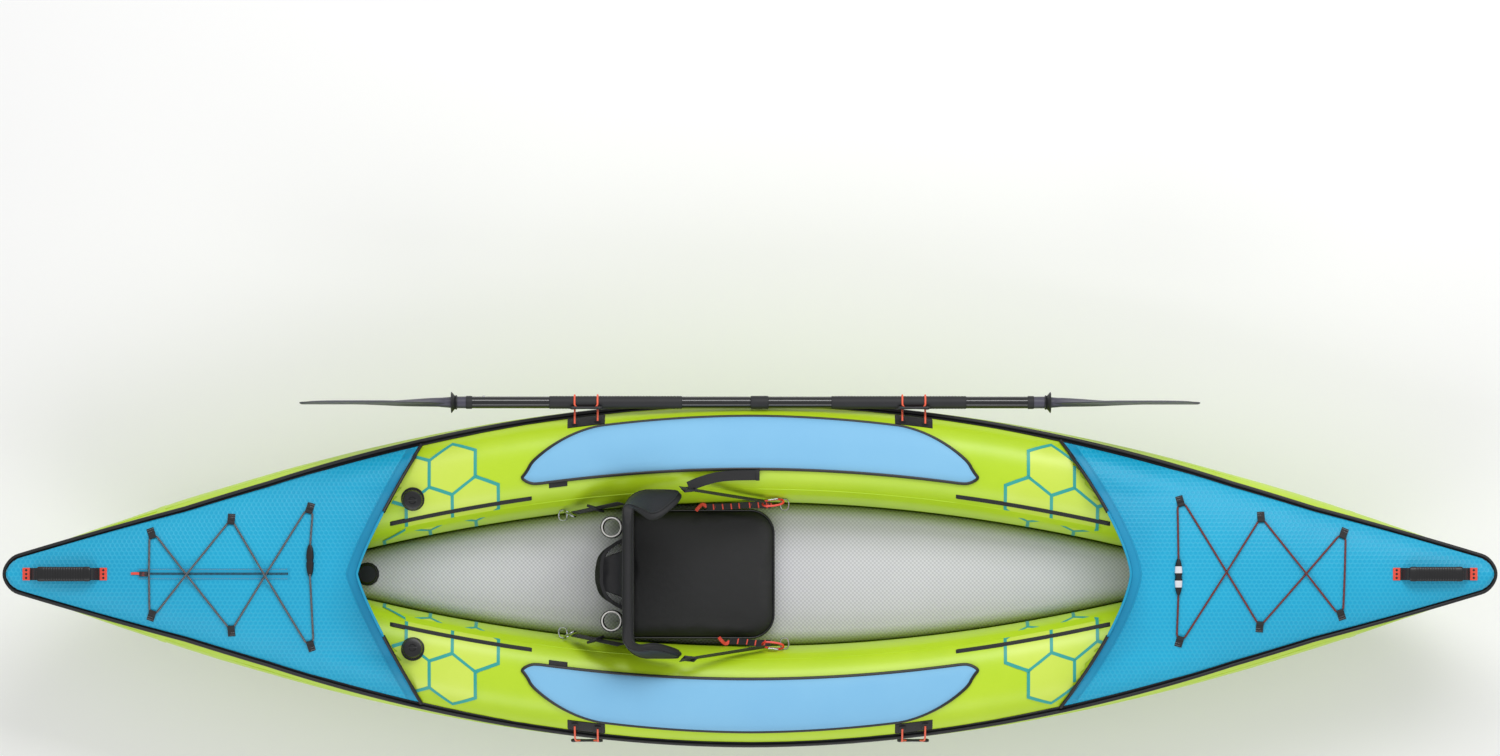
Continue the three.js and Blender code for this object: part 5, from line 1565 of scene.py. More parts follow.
def makeCushion():
    c = cushionParts
    bm = bmesh.new()
    outline = roundedOutline(c["back"], c["front"], c["halfY"], (c["corner"], 0.02, 0.02, c["corner"]))
    face = bm.faces.new([bm.verts.new((p.x, p.y, c["low"])) for p in outline])
    top = bmesh.ops.extrude_face_region(bm, geom=[face])["geom"]
    bmesh.ops.translate(bm, vec=(0, 0, c["high"] - c["low"]),
                        verts=[v for v in top if isinstance(v, bmesh.types.BMVert)])
    bmesh.ops.bevel(bm, geom=[e for e in bm.edges if abs(e.verts[0].co.z - e.verts[1].co.z) < 1e-6], offset=0.011,
                    segments=3, profile=0.5, affect="EDGES", material=-1)
    bmesh.ops.recalc_face_normals(bm, faces=bm.faces)
    bm = swollen("cushion_form", bm, c["voxel"], c["pressure"], c["cap"])
    xs, ys = [v.co.x for v in bm.verts], [v.co.y for v in bm.verts]
    for vert in bm.verts:  # the swelling draws the sides in, so the cover is stretched back out to its seams
        vert.co.x = lerp(c["back"], c["front"] + 0.003, (vert.co.x - min(xs)) / (max(xs) - min(xs)))
        vert.co.y = lerp(-c["halfY"] - 0.002, c["halfY"] + 0.002, (vert.co.y - min(ys)) / (max(ys) - min(ys)))
    for vert in bm.verts:
        x, y, z = vert.co
        crease = 0.0011 * noise.noise(Vector((x * 17, y * 9, 2.0)))
        crease += 0.0006 * noise.noise(Vector((x * 46, y * 40, 6.0)))
        if z > 0.125:
            edge = min(1.0, min(c["halfY"] - abs(y), c["front"] - x, x - c["back"]) / 0.07)
            z += crease + 0.0024 * max(0.0, edge)
        vert.co.z = clamp(z, 0.1008, 0.1486)
        vert.co.y = clamp(y, -0.1600, 0.1600)
        vert.co.x = clamp(x, -0.3075, 0.0622)
    cushion = makePiece("seat_pad", bm, "nylon", "hull", ("seat_cushion",), 180)
    addSmoothing(cushion)
    corners = (c["corner"], 0.02, 0.02, c["corner"])
    seam = roundedOutline(c["back"], c["front"] + 0.0014, c["halfY"] + 0.0010, corners, 12)
    for name, z in (("upper", 0.1375), ("lower", 0.1065)):
        path = [Vector((p.x, p.y, z)) for p in seam]
        path = [p for i, p in enumerate(path) if (p - path[i - 1]).length > 0.001]
        bm = sweep(path, circleProfile(c["piping"], 8), loop=True)
        makePiece("seat_pad_piping_" + name, bm, "piping")


def addSmoothing(piece):
    rounding = piece.modifiers.new("rounding", "SUBSURF")
    rounding.levels = rounding.render_levels = 1


backParts = {"centre": -0.2960, "half": 0.0118, "wingHalf": 0.0078, "turn": 0.045, "wing": 0.1968, "low": 0.1496,
             "top": 0.4192, "columns": 96, "rows": 60, "edge": 0.013, "piping": 0.0022,
             "lean": (0.022, 0.062)}  # how far the starboard and the port wing fold inwards
backReach = [(0.1496, 0.157), (0.200, 0.158), (0.222, 0.160), (0.245, 0.176), (0.262, 0.205), (0.280, 0.262),
             (0.292, 0.306), (0.303, 0.308), (0.325, 0.300), (0.345, 0.286), (0.366, 0.268), (0.386, 0.240),
             (0.402, 0.205), (0.413, 0.165), (0.4192, 0.120)]


# The back's mid line in plan: straight behind the paddler, then round into the wings.
def backPlan(s):
    b = backParts
    side = math.copysign(1, s)
    s = abs(s)
    straight = b["wing"] - b["turn"]
    bend = b["turn"] * math.pi / 2
    if s <= straight:
        return Vector((b["centre"], side * s, 0)), Vector((1, 0, 0))
    if s <= straight + bend:
        a = (s - straight) / b["turn"]
        centre = Vector((b["centre"] + b["turn"], side * straight, 0))
        out = Vector((-math.cos(a), side * math.sin(a), 0))
        return centre + out * b["turn"], -out
    return Vector((b["centre"] + b["turn"] + (s - straight - bend), side * b["wing"], 0)), Vector((0, -side, 0))


def backHalfReach(z):
    for (z0, r0), (z1, r1) in zip(backReach, backReach[1:]):
        if z <= z1:
            t = clamp((z - z0) / (z1 - z0), 0, 1)
            return lerp(r0, r1, t)
    return backReach[-1][1]


def backPoint(u, z, face, proud=0.0):
    b = backParts
    reach = backHalfReach(z)
    s = u * reach
    plan, inward = backPlan(s)
    toSide = (1 - abs(u)) * reach
    toEnd = min(z - b["low"], b["top"] - z)
    inset = clamp(min(toSide, toEnd * 1.1) / b["edge"], 0, 1)
    straight = b["wing"] - b["turn"]
    half = lerp(b["half"], b["wingHalf"], smoothStep((abs(s) - straight) / 0.06))
    half *= lerp(0.25, 1.0, smoothStep((z - b["low"]) / 0.02))
    half *= math.sqrt(1 - (1 - inset) ** 2)
    if face:
        puff = 0.0010 * noise.noise(Vector((s * 12, z * 14, face * 3.0))) + 0.0005 * noise.noise(
            Vector((s * 40, z * 26, face * 8.0)))
        half += puff * inset
    place = plan + inward * face * (half + proud * (1 if face else 0))
    past = smoothStep((abs(s) - straight) / 0.10)
    lean = past * b["lean"][s > 0] * clamp((z - 0.285) / 0.1, 0, 1.2) ** 1.2
    return Vector((place.x, place.y - math.copysign(lean, s), z - 0.35 * lean))


def makeBack():
    b = backParts
    bm = bmesh.new()
    zs = [b["low"] + (b["top"] - b["low"]) * (0.5 - 0.5 * math.cos(math.pi * j / b["rows"]))
          for j in range(b["rows"] + 1)]
    us = [math.sin(math.pi / 2 * (2 * i / b["columns"] - 1)) for i in range(b["columns"] + 1)]
    for face in (1, -1):
        gridMesh([[backPoint(u, z, face) for z in zs] for u in us], None, bm)
    bmesh.ops.remove_doubles(bm, verts=bm.verts, dist=4e-5)
    back = makePiece("seat_back_pad", bm, "nylon", "seat_back", ("seat_back",), 60)
    for name, face in (("front", 1), ("rear", -1)):
        bm = sweep(backRim(face, 0.0085, 0.0004), circleProfile(b["piping"], 8), loop=True)
        makePiece("seat_back_piping_" + name, bm, "piping", "seat_back")
    stitches = bmesh.new()
    for face in (1, -1):
        rim = backRim(face, 0.018, 0.0002)
        for i in range(0, len(rim) - 2, 2):
            sweep([rim[i], rim[i].lerp(rim[i + 1], 0.6)], circleProfile(0.0004, 4), bm=stitches)
    makePiece("seat_back_stitches", stitches, "net", "seat_back")


def backRim(face, inset, proud):
    b = backParts
    low, high = b["low"] + 0.012, b["top"] - inset
    path = []
    side = [low + (high - low) * i / 60 for i in range(61)]
    for z in side:
        path.append(backPoint(1 - inset / backHalfReach(z), z, face, proud))
    for i in range(1, 30):
        path.append(backPoint((1 - inset / backHalfReach(high)) * (1 - 2 * i / 30), high, face, proud))
    for z in reversed(side):
        path.append(backPoint(-(1 - inset / backHalfReach(z)), z, face, proud))
    for i in range(1, 40):
        path.append(backPoint(-(1 - inset / backHalfReach(low)) * (1 - 2 * i / 40), low, face, proud))
    thin = []
    for p in path:
        if not thin or (p - thin[-1]).length > 0.003:
            thin.append(p)
    return thin


# rod holders and the net pocket behind the back

rodParts = {"x": -0.3369, "y": 0.114, "low": 0.1352, "top": 0.3298, "bore": 0.0211, "outer": 0.0235, "rim": 0.0246}
sleeveProfile = [(0.0237, 0.142), (0.0250, 0.142), (0.0262, 0.150), (0.0264, 0.165), (0.0262, 0.20), (0.0265, 0.24),
                 (0.0263, 0.28), (0.0268, 0.305), (0.0272, 0.310), (0.0272, 0.321), (0.0264, 0.3235),
                 (0.0237, 0.3235), (0.0237, 0.142)]


def makeRodHolders():
    r = rodParts
    for label, side in sides.items():
        place = Matrix.Translation((r["x"], side * r["y"], 0))
        profile = [(r["bore"], r["low"]), (r["outer"], r["low"]), (r["outer"], r["top"] - 0.006),
                   (r["rim"], r["top"] - 0.004), (r["rim"] + 0.0002, r["top"] - 0.0016),
                   (r["rim"] - 0.0010, r["top"]), (r["bore"] + 0.0008, r["top"]), (r["bore"], r["top"] - 0.0012),
                   (r["bore"], r["low"])]
        bm = turned(profile, 48, place)
        # Faces inside the bore take the dark finish, painted shade down the tube.
        for face in bm.faces:
            middle = face.calc_center_median()
            radius = math.hypot(middle.x - r["x"], middle.y - side * r["y"])
            face.material_index = 1 if radius < r["bore"] + 0.0003 and middle.z < r["top"] - 0.0010 else 0
        makePiece(label + "_rod_tube", bm, ["palePlastic", "boreShade"], "seat_back",
                  (label + "_rod_holder",), 30)
        sleeve = turned(sleeveProfile, 48)
        for vert in sleeve.verts:
            radius = math.hypot(vert.co.x, vert.co.y)
            if radius > 0.0245:
                turn = math.atan2(vert.co.y, vert.co.x)
                spot = Vector((math.cos(turn) * 1.6, math.sin(turn) * 1.6, vert.co.z * 26 + side))
                pull = 1 + 0.022 * noise.noise(spot)
                vert.co.x *= pull
                vert.co.y *= pull
        bmesh.ops.transform(sleeve, matrix=place, verts=sleeve.verts)
        makePiece(label + "_rod_sleeve", sleeve, "nylon", "seat_back")


pocketParts = {"half": 0.0835, "rear": -0.3810, "front": -0.3095, "low": 0.1505, "top": 0.2890, "cord": 0.0011}


def pocketPoint(u, v):
    p = pocketParts
    y = u * p["half"]
    bulge = (1 - abs(u) ** 3.5) * (0.72 + 0.28 * math.sin(math.pi * clamp(v * 0.9 + 0.05, 0, 1)))
    sag = 0.0035 * noise.noise(Vector((u * 3, v * 3, 1.0)))
    x = lerp(p["front"], p["rear"] + 0.003, bulge) + sag * bulge
    return Vector((x, y, lerp(p["low"], p["top"], v)))


# Turns a grid of points into a net of diagonal cords.
def netMesh(points):
    net = gridMesh(points)
    grid = net.edges[:]
    bmesh.ops.poke(net, faces=net.faces)
    inner = [edge for edge in grid if edge.is_valid and not edge.is_boundary]
    bmesh.ops.dissolve_edges(net, edges=inner, use_verts=False)
    bmesh.ops.wireframe(net, faces=net.faces, thickness=pocketParts["cord"], use_replace=True,
                        use_even_offset=False, use_boundary=True)
    return net


def hungCloth(name, points, direction):
    panel = faceAlong(gridMesh(points), direction)
    area = areaOf(panel)
    cloth = makePiece(name, panel, "nylon", "seat_back", outward=False)
    addWall(cloth, 0.0010)


def makePocket():
    us, vs = spaced(-1, 1, 34), spaced(0, 1, 22)
    net = netMesh([[pocketPoint(u, v) for v in vs] for u in us])
    makePiece("net_pocket", net, "net", "seat_back", ("seat_pocket",))
    bm = bmesh.new()
    rim = [pocketPoint(u, 1.0) for u in spaced(-1, 1, 40)]
    sweep([q - Vector((0, 0, 0.008)) for q in rim], bandProfile(0.0022, 0.017), bm=bm)
    for edge in (-0.985, 0.985):
        sweep([pocketPoint(edge, v) for v in vs], circleProfile(0.0030, 8), up=(1, 0, 0), bm=bm)
    sweep([pocketPoint(u, 0.012) for u in spaced(-1, 1, 40)], circleProfile(0.0030, 8), bm=bm)
    makePiece("net_pocket_binding", bm, "nylon", "seat_back")
    makePocketTop()
    points = [[pocketPoint(u * (1.0 - 0.55 * v), v) + Vector((0.0024, 0, 0)) for v in spaced(0.02, 0.92, 18)]
              for u in spaced(-0.62, 0.62, 26)]
    hungCloth("pocket_cloth", points, (-1, 0, 0))


# Net and cloth that close the pocket's top, from its rim up to the back.
def pocketLid(u, t, drop):
    rim = pocketPoint(u, 1.0)
    start = Vector((pocketParts["front"] + 0.0002, rim.y * 0.96, 0.3050))
    sag = Vector((0, 0, -0.014 * math.sin(math.pi * t) * (1 - 0.4 * abs(u)) - drop))
    return start.lerp(rim, t) + sag


def makePocketTop():
    net = netMesh([[pocketLid(u, t, 0.0012) for t in spaced(0, 1, 10)] for u in spaced(-1, 1, 34)])
    makePiece("net_pocket_top", net, "net", "seat_back")
    points = []
    for u in spaced(-0.72, 0.72, 30):
        column = []
        for t in spaced(0, 0.97, 16):
            crease = 0.0022 * noise.noise(Vector((u * 4, t * 3, 5.0))) * math.sin(math.pi * t)
            column.append(pocketLid(u * (1 - 0.32 * t), t, -0.0012) + Vector((0, 0, crease)))
        points.append(column)
    hungCloth("pocket_lid", points, (0, 0, 1))


# seat straps

strapParts = {"width": 0.025, "thick": 0.0019}


def strapBand(points, width, thick, up, bm=None, perRun=6):
    return sweep(smoothPath(points, perRun), bandProfile(width, thick), up=up, bm=bm)


def metalRing(centre, along, up, length, width, radius, bm, material=0):
    place = standing(centre, up, along)
    path = []
    for i in range(28):
        a = 2 * math.pi * i / 28
        path.append(place @ Vector((signedPower(math.cos(a), 0.8) * length / 2,
                                    signedPower(math.sin(a), 0.8) * width / 2, 0)))
    return sweep(path, circleProfile(radius, 8), up=tuple(Vector(up)), loop=True, bm=bm, material=material)


def slideBuckle(centre, along, up, bm, size=(0.034, 0.030, 0.006)):
    place = standing(centre, up, along)
    for offset in (-0.5, 0.0, 0.5):
        bar = place @ Matrix.Translation((offset * (size[0] - 0.005), 0, 0))
        block((0.0052, size[1], size[2]), 0.0016, bar, bm)
    for way in (-0.5, 0.5):
        rail = place @ Matrix.Translation((0, way * (size[1] - 0.004), 0))
        block((size[0], 0.0042, size[2] * 0.9), 0.0016, rail, bm)
    return bm


def makeFrontStraps():
    for label, side in sides.items():
        anchor = Vector((0.100, side * 0.1676, 0.2010))
        wing = Vector((-0.1680, side * 0.2095, 0.3122))
        run = (wing - anchor).normalized()
        near = anchor + run * 0.070
        sag = Vector((0, 0, -0.0025))
        bm = strapBand([wing, wing.lerp(near, 0.35) + sag, wing.lerp(near, 0.7) + sag, near], strapParts["width"],
                       strapParts["thick"], (0, side * 1.0, 0.35))
        crossingPiece(label + "_front_webbing", bm, "webbing", near,
                      wing.lerp(near, 0.12), (label + "_front_strap",))
        buckle = bmesh.new()
        middle = wing.lerp(near, 0.10)
        slideBuckle(middle, run, (0, side, 0.35), buckle, (0.034, 0.029, 0.0055))
        makePiece(label + "_wing_buckle", buckle, "dullPlastic", "seat_back")
        hook = bmesh.new()
        metalRing(anchor + run * 0.048, run, (0, side * 0.7, 0.7), 0.052, 0.021, 0.0026, hook)
        makePiece(label + "_front_hook", hook, "redPlastic")
        gate = bmesh.new()
        block((0.026, 0.0042, 0.0042), 0.0016, standing(anchor + run * 0.048 + Vector((0, side * 0.008, 0.004)),
                                                       (0, side * 0.7, 0.7), run), gate)
        metalRing(anchor + run * 0.017, run, (0, side * 0.2, 1.0), 0.020, 0.027, 0.0019, gate)
        makePiece(label + "_front_ring", gate, "metal")
        patch = tubeBand(spaced(0.078, 0.124, 16), lambda x: runOf(x, 3.02), lambda x: runOf(x, 3.02) + 0.036, 0.0016,
                         side, 6)
        makePiece(label + "_front_patch", patch, "webbing", outward=False)
        makeLadder(label, side)
        if side > 0:
            tail = [Vector((-0.150, 0.2125, 0.302)), Vector((-0.120, 0.2250, 0.290)), Vector((-0.080, 0.236, 0.2835)),
                    Vector((-0.040, 0.240, 0.2822)), Vector((0.022, 0.241, 0.2826))]
            bm = strapBand(tail, strapParts["width"], strapParts["thick"], (0, -0.12, 1), None, 8)
            end = block((0.010, 0.027, 0.0040), 0.0012, Matrix.Translation((0.0185, 0.241, 0.2828)))
            joinInto(bm, end)
            crossingPiece("port_strap_tail", bm, "webbing", (-0.110, 0.226, 0.288),
                          (-0.148, 0.2125, 0.301))


# The red-stitched strip of loops that the hooks hang on.
def makeLadder(label, side):
    start = Vector((0.050, side * 0.1685, 0.1990))
    end = Vector((-0.106 if side > 0 else -0.050, side * 0.1650, 0.1600))
    line = [start, start.lerp(end, 0.33) + Vector((0, side * 0.002, 0.003)), start.lerp(end, 0.66), end]
    up = (0.25, -side * 0.35, 0.9)
    bm = strapBand(line, 0.017, 0.0020, up, None, 8)
    path = smoothPath(line, 8)
    loops = bmesh.new()
    count = 7 if side > 0 else 4
    for k in range(count):
        spot = path[int((k + 0.8) / (count + 0.6) * (len(path) - 1))] + Vector(up).normalized() * 0.0018
        place = standing(spot, up, start - end)
        block((0.0032, 0.0150, 0.0018), 0.0006, place, loops)
        if k % 2 == 0:
            block((0.0100, 0.0080, 0.0026), 0.0010, place @ Matrix.Translation((0.008, 0, 0)), loops)
    tab = [end, end + Vector((-0.010, side * 0.006, 0.006)), end + Vector((-0.020, -side * 0.002, 0.010)),
           end + Vector((-0.026, -side * 0.010, 0.004))]
    strapBand(tab, 0.0085, 0.0016, (0, 0, 1), loops, 6)
    makePiece(label + "_loop_strip", bm, "webbing")
    makePiece(label + "_loop_strip_red", loops, "red")


def makeRearStraps():
    for label, side in sides.items():
        start = Vector((-0.3130, side * 0.1722, 0.3540))
        anchor = Vector((-0.4620, side * 0.1430, 0.1955))
        run = (anchor - start).normalized()
        near = anchor - run * 0.050
        bm = strapBand([start, start.lerp(near, 0.5) + Vector((0, 0, -0.002)), near], strapParts["width"],
                       strapParts["thick"], (0.35, side, 0.1))
        crossingPiece(label + "_rear_webbing", bm, "webbing", near,
                      start.lerp(near, 0.18), (label + "_rear_strap",))
        buckle = bmesh.new()
        slideBuckle(start.lerp(near, 0.55), run, (0.35, side, 0.1), buckle, (0.036, 0.030, 0.0065))
        crossingPiece(label + "_rear_buckle", buckle, "dullPlastic", near,
                      start.lerp(near, 0.18))
        rings = bmesh.new()
        metalRing(anchor - run * 0.032, run, (0.35, side, 0.2), 0.040, 0.018, 0.0022, rings)
        metalRing(anchor - run * 0.006, run, (0, side * 0.2, 1.0), 0.020, 0.026, 0.0019, rings)
        makePiece(label + "_rear_hook", rings, "metal")
        patch = tubeBand(spaced(-0.492, -0.444, 16), lambda x: runOf(x, 3.35), lambda x: runOf(x, 3.35) + 0.036, 0.0016,
                         side, 6)
        makePiece(label + "_rear_patch", patch, "webbing", outward=False)


# paddle

paddleParts = {"y": 0.419, "z": 0.239, "tilt": 0.66, "radius": 0.0145, "shaftEnd": 0.69, "blade": 0.410,
               "width": 0.172, "thick": 0.0050, "cup": 0.0060, "columns": 70, "rows": 30}


def paddlePlace():
    return Matrix.Translation((0, paddleParts["y"], paddleParts["z"])) @ Matrix.Rotation(
        math.radians(paddleParts["tilt"]), 4, "Y")


def shaftPiece(x0, x1, profile, steps=40):
    bm = turned([(r, x0 + (x1 - x0) * t) for r, t in profile], steps)
    bmesh.ops.transform(bm, matrix=paddlePlace() @ Matrix.Rotation(math.pi / 2, 4, "Y"), verts=bm.verts)
    return bm


def bladeEdges(t):
    half = paddleParts["width"] / 2
    low = [(0.04, 0.008), (0.10, 0.0105), (0.20, 0.022), (0.32, 0.050), (0.45, 0.077), (0.56, half - 0.0005),
           (0.70, half - 0.0002), (0.86, half - 0.002), (0.93, half - 0.010), (0.975, half - 0.026),
           (0.998, half * 0.35)]
    high = [(0.04, 0.008), (0.10, 0.0105), (0.20, 0.024), (0.30, 0.052), (0.41, 0.078), (0.50, half - 0.0005),
            (0.66, half - 0.0002), (0.80, half - 0.002), (0.88, half - 0.011), (0.935, half - 0.026),
            (0.975, half * 0.40)]
    return curveAt(low, t), curveAt(high, t)


def curveAt(table, t):
    for (a, va), (b, vb) in zip(table, table[1:]):
        if t <= b:
            s = clamp((t - a) / (b - a), 0, 1)
            return lerp(va, vb, s)
    return table[-1][1] * math.sqrt(max(0.0, 1 - ((t - table[-1][0]) / max(1.004 - table[-1][0], 1e-3)) ** 2))


def softened(t, count=9, spread=0.03):
    sums = [0.0, 0.0]
    for k in range(count):
        pair = bladeEdges(clamp(t + spread * (k / (count - 1) - 0.5) * min(1, (1 - t) / 0.05), 0.04, 1.0))
        sums[0] += pair[0] / count
        sums[1] += pair[1] / count
    return sums


def makeBlade(end, sign):
    p = paddleParts
    bm = bmesh.new()
    for face in (1, -1):
        points = []
        for i in range(p["columns"] + 1):
            t = 0.045 + (0.9975 - 0.045) * (1 - (1 - i / p["columns"]) ** 1.25)
            low, high = softened(t)
            u = p["shaftEnd"] + p["blade"] * t
            column = []
            for j in range(p["rows"] + 1):
                v = -math.cos(math.pi * j / p["rows"])
                z = (high if v > 0 else low) * v
                rim = 1 - abs(v) ** 6
                tipEdge = clamp((0.9975 - t) / 0.02, 0, 1)
                half = p["thick"] / 2 * math.sqrt(max(rim, 0)) * math.sqrt(tipEdge * (2 - tipEdge))
                spine = 0.0085 * math.exp(-(z / 0.011) ** 2) * (1 - smoothStep((t - 0.1) / 0.62)) * (1 - abs(v) ** 4)
                ledge = 0.0008 * smoothStep((0.86 - abs(v)) / 0.03) * smoothStep((0.95 - t) / 0.03)
                cup = p["cup"] * ((z / (p["width"] / 2)) ** 2 - 0.4) * smoothStep((t - 0.15) / 0.3)
                y = face * (half + spine + (ledge if face > 0 else 0) * rim) + cup * rim
                column.append(Vector((sign * u, y, z)))
            points.append(column)
        gridMesh(points, None, bm)
    sealEnds(bm, 3e-5)
    bmesh.ops.recalc_face_normals(bm, faces=bm.faces)
    neck = turned([(0.0, p["shaftEnd"] - 0.056), (0.0122, p["shaftEnd"] - 0.056), (0.0122, p["shaftEnd"] + 0.0004),
                   (0.0145, p["shaftEnd"] + 0.0006), (0.0144, p["shaftEnd"] + 0.030), (0.0130, p["shaftEnd"] + 0.060),
                   (0.0095, p["shaftEnd"] + 0.110), (0.0, p["shaftEnd"] + 0.150)], 32)
    for vert in neck.verts:
        past = smoothStep((vert.co.z - p["shaftEnd"] - 0.03) / 0.09)
        vert.co.y *= 1 - 0.35 * past
    bmesh.ops.transform(neck, matrix=Matrix.Rotation(sign * math.pi / 2, 4, "Y"), verts=neck.verts)
    joinInto(bm, neck)
    bmesh.ops.transform(bm, matrix=paddlePlace(), verts=bm.verts)
    makePiece(end + "_paddle_blade", bm, "blade", "paddle_" + end + "_half", (end + "_blade",),
              40)


def makePaddle():
    r = paddleParts["radius"]
    end = paddleParts["shaftEnd"]
    for half, sign in ends.items():
        body = "paddle_" + half + "_half"
        outer = [(0.0126, 0.0), (r - 0.0004, 0.0), (r, 0.0006), (r, 0.9994), (r - 0.0004, 1.0), (0.0126, 1.0),
                 (0.0126, 0.0)]
        a, b = (0.0002, end) if sign > 0 else (-end, -0.0002)
        bm = shaftPiece(a, b, outer)
        if sign < 0:
            joinInto(bm, shaftPiece(-0.060, 0.060, [(0.0104, 0), (0.0120, 0), (0.0120, 1), (0.0104, 1), (0.0104, 0)]))
        makePiece(half + "_paddle_shaft", bm, "shaft", body, ("paddle_shaft_" + half,),
                  30)
        g0, g1 = (0.198, 0.529) if sign > 0 else (-0.491, -0.165)
        profile = [(r - 0.0006, 0.0), (r + 0.0006, 0.004), (r + 0.0013, 0.012)]
        for k in range(1, 84):
            profile.append((r + 0.0013 - (0.00055 if k % 2 else 0.0), 0.012 + 0.976 * k / 84))
        profile += [(r + 0.0013, 0.988), (r + 0.0006, 0.996), (r - 0.0006, 1.0)]
        makePiece(half + "_paddle_grip", shaftPiece(g0, g1, profile, 32), "dullPlastic", body)
        d = 0.727 if sign > 0 else -0.722
        ring = [(r - 0.0006, 0.0), (r + 0.0030, 0.10), (r + 0.0036, 0.22), (r + 0.0018, 0.36), (r + 0.0042, 0.52),
                (r + 0.0110, 0.86), (r + 0.0114, 0.94), (r + 0.0100, 1.0), (r + 0.0020, 0.80), (r - 0.0006, 0.74)]
        low, high = (d - 0.008, d + 0.008) if sign > 0 else (d + 0.008, d - 0.008)
        makePiece(half + "_drip_ring", shaftPiece(low, high, ring, 36), "piping", body)
        n0, n1 = sorted((sign * (end - 0.0125), sign * (end + 0.004)))
        collar = [(r - 0.0006, 0.0), (r + 0.0010, 0.06), (r + 0.0014, 0.2), (r + 0.0014, 0.8), (r + 0.0010, 0.94),
                  (r - 0.0006, 1.0)]
        makePiece(half + "_neck_collar", shaftPiece(n0, n1, collar, 36), "dullPlastic", body)
        makeBlade(half, sign)
    collar = [(r - 0.0006, 0.0), (r + 0.0012, 0.04), (r + 0.0016, 0.1), (r + 0.0016, 0.9), (r + 0.0012, 0.96),
              (r - 0.0006, 1.0)]
    makePiece("ferrule_collar", shaftPiece(0.0006, 0.046, collar, 36), "dullPlastic", "paddle_bow_half")
    button = turned([(0.0, 0.0060), (0.0034, 0.0060), (0.0034, r + 0.0004), (0.0031, r + 0.0012),
                     (0.0022, r + 0.0018), (0.0, r + 0.0020)], 24)
    place = paddlePlace() @ Matrix.Translation((-0.650, 0, 0)) @ Matrix.Rotation(-math.pi / 2, 4, "X")
    bmesh.ops.transform(button, matrix=place, verts=button.verts)
    makePiece("snap_button", button, "metal", "paddle_button", ("blade_button",))


# paddle holders

holderParts = {"x": 0.400, "length": 0.095, "spacing": 0.056, "cord": 0.0024, "toggleLength": 0.078}


def makeToggle(name, centre):
    bm = turned([(0.0, -0.5), (0.0024, -0.5), (0.0040, -0.47), (0.0045, -0.42), (0.0036, -0.30), (0.0033, 0.0),
                 (0.0036, 0.30), (0.0045, 0.42), (0.0040, 0.47), (0.0024, 0.5), (0.0, 0.5)], 20)
    for vert in bm.verts:
        vert.co.z *= holderParts["toggleLength"]
    place = Matrix.Translation(centre) @ Matrix.Rotation(math.pi / 2, 4, "Y")
    bmesh.ops.transform(bm, matrix=place, verts=bm.verts)
    return makePiece(name, bm, "plastic", "hull", ())


def makeHolders():
    for end, sign in ends.items():
        x = sign * holderParts["x"]
        for label, side in sides.items():
            name = label + "_" + end
            xs = spaced(x - holderParts["length"] / 2, x + holderParts["length"] / 2, 24)
            patch = tubeBand(xs, lambda q: runOf(q, 0.35), lambda q: runOf(q, 1.2), 0.0019, side, 5)
            makePiece(name + "_patch", patch, "webbing", "hull", (name + "_holder_patch",),
                      outward=False)
            loops = bmesh.new()
            for way in (-1, 1):
                at = x + way * holderParts["spacing"] / 2
                spot = tubeRing(at, 0.8, 0.0034, side)
                up = tubeOut(at, 0.8, Vector((1, 0, 0)), tubeRing(at, 0.9, 0, side) - tubeRing(at, 0.7, 0, side), side)
                block((0.015, 0.021, 0.0022), 0.0009, standing(spot, up), loops)
            makePiece(name + "_patch_tabs", loops, "webbing")
            if side > 0:
                closedHolder(name, x)
            else:
                hangingHolder(name, x)


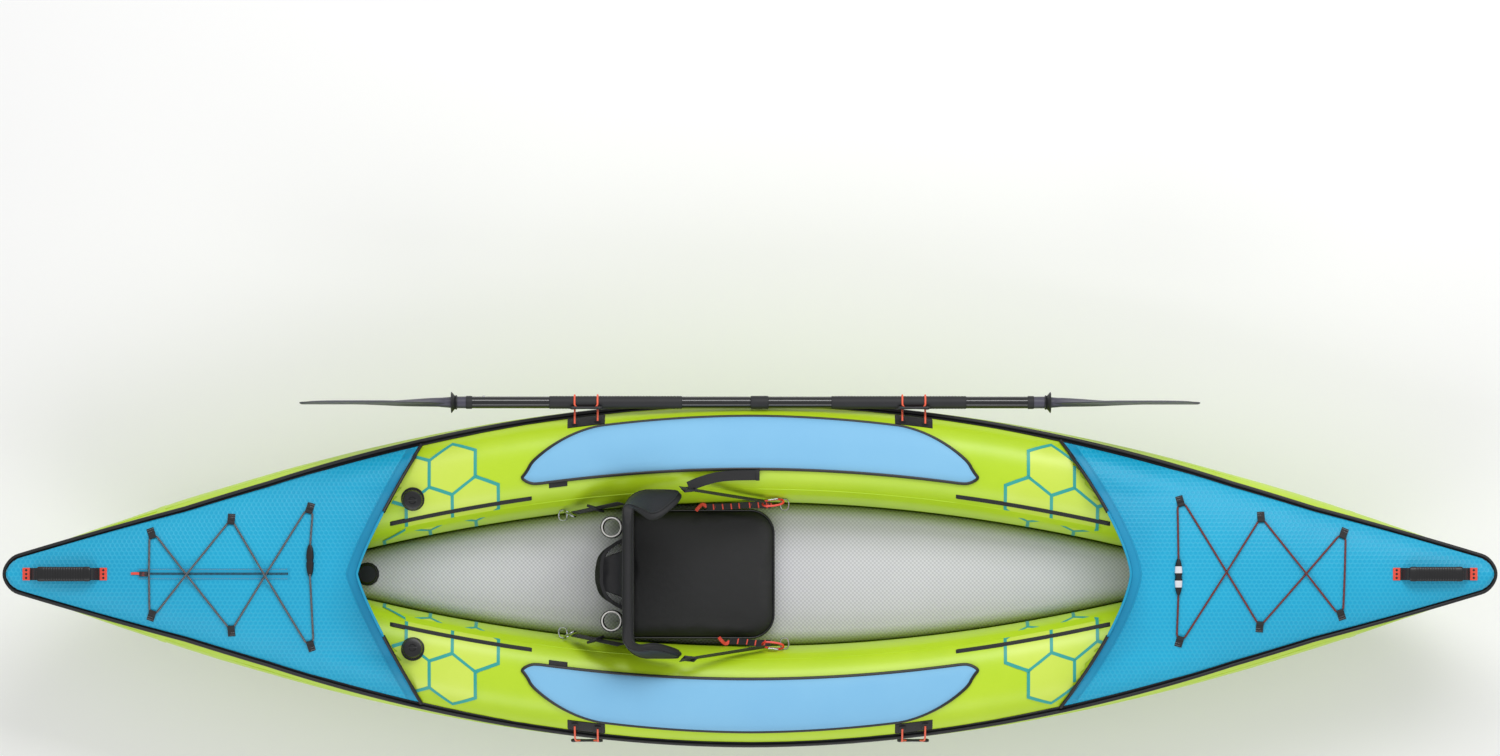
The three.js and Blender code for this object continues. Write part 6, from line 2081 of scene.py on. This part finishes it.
def closedHolder(name, x):
    radius, turn = paddleParts["radius"] + holderParts["cord"] + 0.0009, 0.0108
    drop = -math.tan(math.radians(paddleParts["tilt"]))
    runs = []
    for way in (-1, 1):
        at = x + way * holderParts["spacing"] / 2
        centre = Vector((at, paddleParts["y"], paddleParts["z"] + drop * at))
        foot = tubeRing(at, 1.0, 0.0046, 1)
        ring = []
        for k in range(15):  # under the shaft, up outboard and over it
            a = math.radians(-105 + 205 * k / 14)
            ring.append(centre + Vector((0, math.cos(a) * radius, math.sin(a) * radius)))
        onward = Vector((0, -math.sin(a), math.cos(a)))
        bend = [ring[-1] + onward * turn * math.sin(b) + Vector((-way * turn * (1 - math.cos(b)), 0, 0))
                for b in (math.radians(18 * step) for step in range(1, 6))]
        runs.append([foot, foot.lerp(ring[0], 0.5) + Vector((0, 0, 0.0012))] + ring + bend)
    line = smoothPath(runs[0] + list(reversed(runs[1])), 3)
    middle = Vector((x, paddleParts["y"] - 0.0135, paddleParts["z"] + drop * x + 0.0190))
    makeLoop(name, line, (1, 0, 0), middle)


def hangingHolder(name, x):
    low = Vector((x, -(abs(tubeRing(x, 14, 0, 1).y) + 0.0120), hull["seamHeight"] - 0.0605))
    runs = []
    for way in (-1, 1):
        at = x + way * holderParts["spacing"] / 2
        first = tubeRing(at, 0.85, 0.0052, -1)
        over = tubeRing(at, 0.0, 0.0, -1) + Vector((0, -0.0135, 0.0045))
        down = tubeRing(at, 15.55, 0.0, -1) + Vector((0, -0.0095, 0))
        bottom = Vector((x + way * 0.0262, low.y, low.z + 0.0160))
        runs.append([first, first.lerp(over, 0.5) + Vector((0, 0, 0.004)), over, down, bottom])
    foot = [low + Vector((side * 0.0180, 0, 0.0022)) for side in (-1, 1)]
    line = smoothPath(runs[0] + [foot[0], low - Vector((0, 0, 0.0034)), foot[1]] + list(reversed(runs[1])), 7)
    makeLoop(name, line, (0.2, 1, 0.1), low)


def makeLoop(name, line, up, toggleSpot):
    bm = sweep(line, circleProfile(holderParts["cord"], 8), up=up)
    cord = makePiece(name + "_elastic", bm, "coral", "hull", (name + "_holder_loop",), 60)
    toggle = makeToggle(name + "_toggle", toggleSpot)


makeCushion()
makeBack()
makeRodHolders()
makePocket()
makeFrontStraps()
makeRearStraps()
print("seat made")
makePaddle()
makeHolders()
print("paddle and holders made")

shownNodes = {"fin_box": "dullPlastic", "floor_valve_body": "plastic", "floor_valve_cap": "plastic",
              "port_valve_plunger": "whitePlastic", "starboard_valve_plunger": "whitePlastic"}
for name, finish in shownNodes.items():
    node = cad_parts[name]
    node.data.materials.clear()
    node.data.materials.append(finishes[finish])
